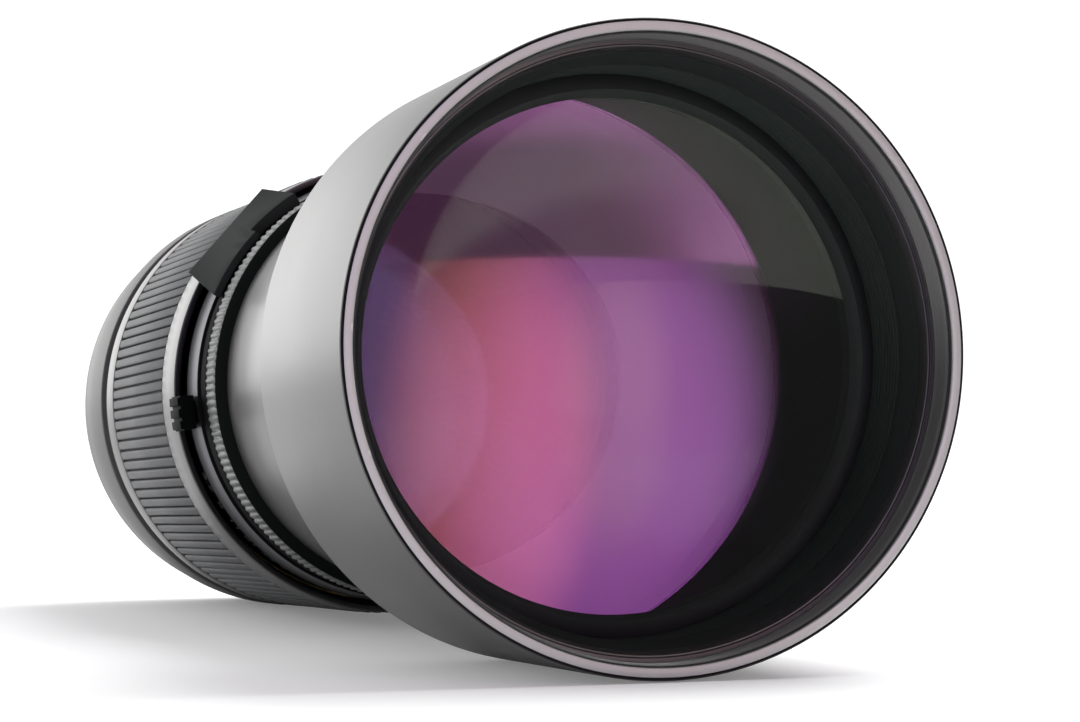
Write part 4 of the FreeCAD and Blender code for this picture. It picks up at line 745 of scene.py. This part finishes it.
def dress_cad_nodes():
    finishes = {
        INSIDE: ["second_retaining_ring", "third_retaining_ring", "tube_baffle", "shutter_cover",
                 "shutter_housing", "mid_plate", "sliding_barrel", "rear_cell",
                 "rear_retaining_ring", "guide_tube", "rear_baffle"],
        FUNNEL: ["third_cell"],
        BLACK: ["shutter_drive_ring", "iris_drive_ring"],
        CLEAR: ["fourth_element"],
        BLADE: ["%s_blade_%d" % (kind, i) for kind in ("shutter", "iris") for i in range(1, 6)],
        STEEL: ["shutter_studs", "iris_studs", "aperture_key", "speed_key", "drive_shaft",
                "cocking_shaft", "guide_keys"],
        SCREW: ["flange_screws", "lip_set_screws", "retainer_screws", "mount_screws"],
        BRASS: ["helicoid_nut", "focus_retainer"],
        INNER: ["inner_helicoid"],
        CHROME: ["bayonet_mount"],
    }
    for finish, nodes in finishes.items():
        for node in nodes:
            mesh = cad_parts[node].data
            mesh.materials.clear()
            mesh.materials.append(finish.material)


# Floor, light and camera
def floor_sheet():
    """White table top that ends just in front of the camera. To the right in front of the lens, where
    only the glass mirrors it, it is coloured dark as painted shade, and shows white to the camera
    there too."""
    white = (0.88, 0.88, 0.885)
    floor = Finish("floor_white", white, 0.9, gloss=0.0)
    seen = floor.add("ShaderNodeLightPath", {}, {}, "Is Camera Ray")
    away = floor.axis("Y").step(0.45, 1.2)
    before = 1.0 - (floor.axis("Y") / MM).step(-150.0, -100.0)
    aside = (floor.axis("X") / MM).step(-22.0, 58.0)
    dim = before * aside
    # Painted shade: the patch is coloured dark grey for the glass to mirror; camera rays get extra
    # glow over it.
    floor.set("Base Color", floor.mix(dim, white, (0.18, 0.18, 0.18)))
    lift = (0.21 + 0.5 * away + 0.8 * dim).clamp()
    floor.set("Emission Color", floor.mix(seen * lift, (0.0, 0.0, 0.0), (0.84, 0.84, 0.84)))
    floor.set("Emission Strength", 1.0)
    bpy.ops.mesh.primitive_grid_add(x_subdivisions=2, y_subdivisions=2, size=1.0,
                                    location=(0, 2.93, 0))
    sheet = bpy.context.active_object
    sheet.name = "floor_sheet"
    sheet.scale = (12.0, 6.6, 1.0)
    bpy.ops.object.transform_apply(location=True, rotation=True, scale=True)
    sheet.rotation_euler = (math.atan2(RIM_RADIUS - GRIP_CREST, GRIP_CONTACT), 0, 0)
    sheet.location = (0, y_at(0), -FLOOR_DROP * MM)
    sheet.data.materials.append(floor.material)


class Room(Finish):
    """World shader: brightness by direction."""

    def __init__(self, world):
        world.use_nodes = True
        self.tree = world.node_tree
        self.shader = self.tree.nodes["Background"]
        self.place = self.add("ShaderNodeTexCoord", {}, {}, "Generated")

    def glow(self, facing, across, up, width, height):
        """Soft oval patch of light in front (-1) or behind (1): 1 at its middle, 0 at its rim."""
        side = (self.axis("X") - across) / width
        rise = (self.axis("Z") - up) / height
        oval = 1.0 - (side * side + rise * rise).step(0.1, 1.0)
        return oval * (facing * self.axis("Y")).step(0.3, 0.6)


def white_room():
    """White behind the lens and overhead, dim in front but for a warm and a cool window."""
    world = bpy.data.worlds.new("studio_white")
    bpy.context.scene.world = world
    room = Room(world)
    behind = room.axis("Y").step(-0.5, 0.25)
    level = 0.13 + behind + 1.6 * room.glow(1.0, -0.38, 0.16, 0.62, 0.34)
    warm = room.glow(-1.0, 0.3, 0.17, 0.2, 0.52)
    cool = room.glow(-1.0, 0.09, 0.17, 0.34, 0.52)
    seen = room.add("ShaderNodeLightPath", {}, {}, "Is Camera Ray") * 1.2
    tints = ((1.32, 1.08), (0.92, 0.74), (0.48, 1.45))
    channels = [level + warm * warm_share + cool * cool_share for warm_share, cool_share in tints]
    channels = [channel.math("MAXIMUM", channel, seen) for channel in channels]
    color = room.add("ShaderNodeCombineXYZ", {}, dict(zip("XYZ", channels)))
    room.set("Color", color)
    room.set("Strength", 1.0)


def softbox(name, place, aim, size, radiance):
    """Square lamp at a place in metres, with its brightness given as radiance."""
    bpy.ops.object.light_add(type="AREA", location=place)
    lamp = bpy.context.active_object
    lamp.name = name
    lamp.data.shape = "RECTANGLE"
    lamp.data.size = size
    lamp.data.size_y = size
    lamp.data.energy = radiance * math.pi * size * size
    lamp.rotation_euler = (Vector(aim) - Vector(place)).to_track_quat("-Z", "Y").to_euler()


def lights():
    middle = (0.0, -0.12, 0.0)
    softbox("softbox_above", (0.85, 0.15, 1.4), middle, 1.2, 6.0)
    softbox("softbox_left", (-1.6, 0.9, 0.6), middle, 0.9, 1.2)


def camera():
    """The photograph's own view: its place and directions were fitted to the rings."""
    bpy.ops.object.camera_add()
    view = bpy.context.active_object
    right = Vector((0.9499, -0.3123, -0.0151)).normalized()
    ahead = Vector((0.3126, 0.9488, 0.0460)).normalized()
    up = right.cross(ahead).normalized()
    right = ahead.cross(up)
    turn = Matrix((right, up, -ahead)).transposed().to_4x4()
    view.matrix_world = Matrix.Translation(Vector((-148.96, -399.07 - FLANGE, -21.16)) * MM) @ turn
    view.data.lens = 105.0
    view.data.sensor_width = 36.0
    view.data.clip_start = 0.01
    bpy.context.scene.camera = view
    bpy.context.scene.view_settings.view_transform = "Standard"


front_barrel()
rings_behind_rim()
glasses()
tube_and_rings()
speed_ring()
grip()
focus_ring()
rear_housing()
index_and_tab()
scale_numbers()
dress_cad_nodes()
floor_sheet()
white_room()
lights()
camera()
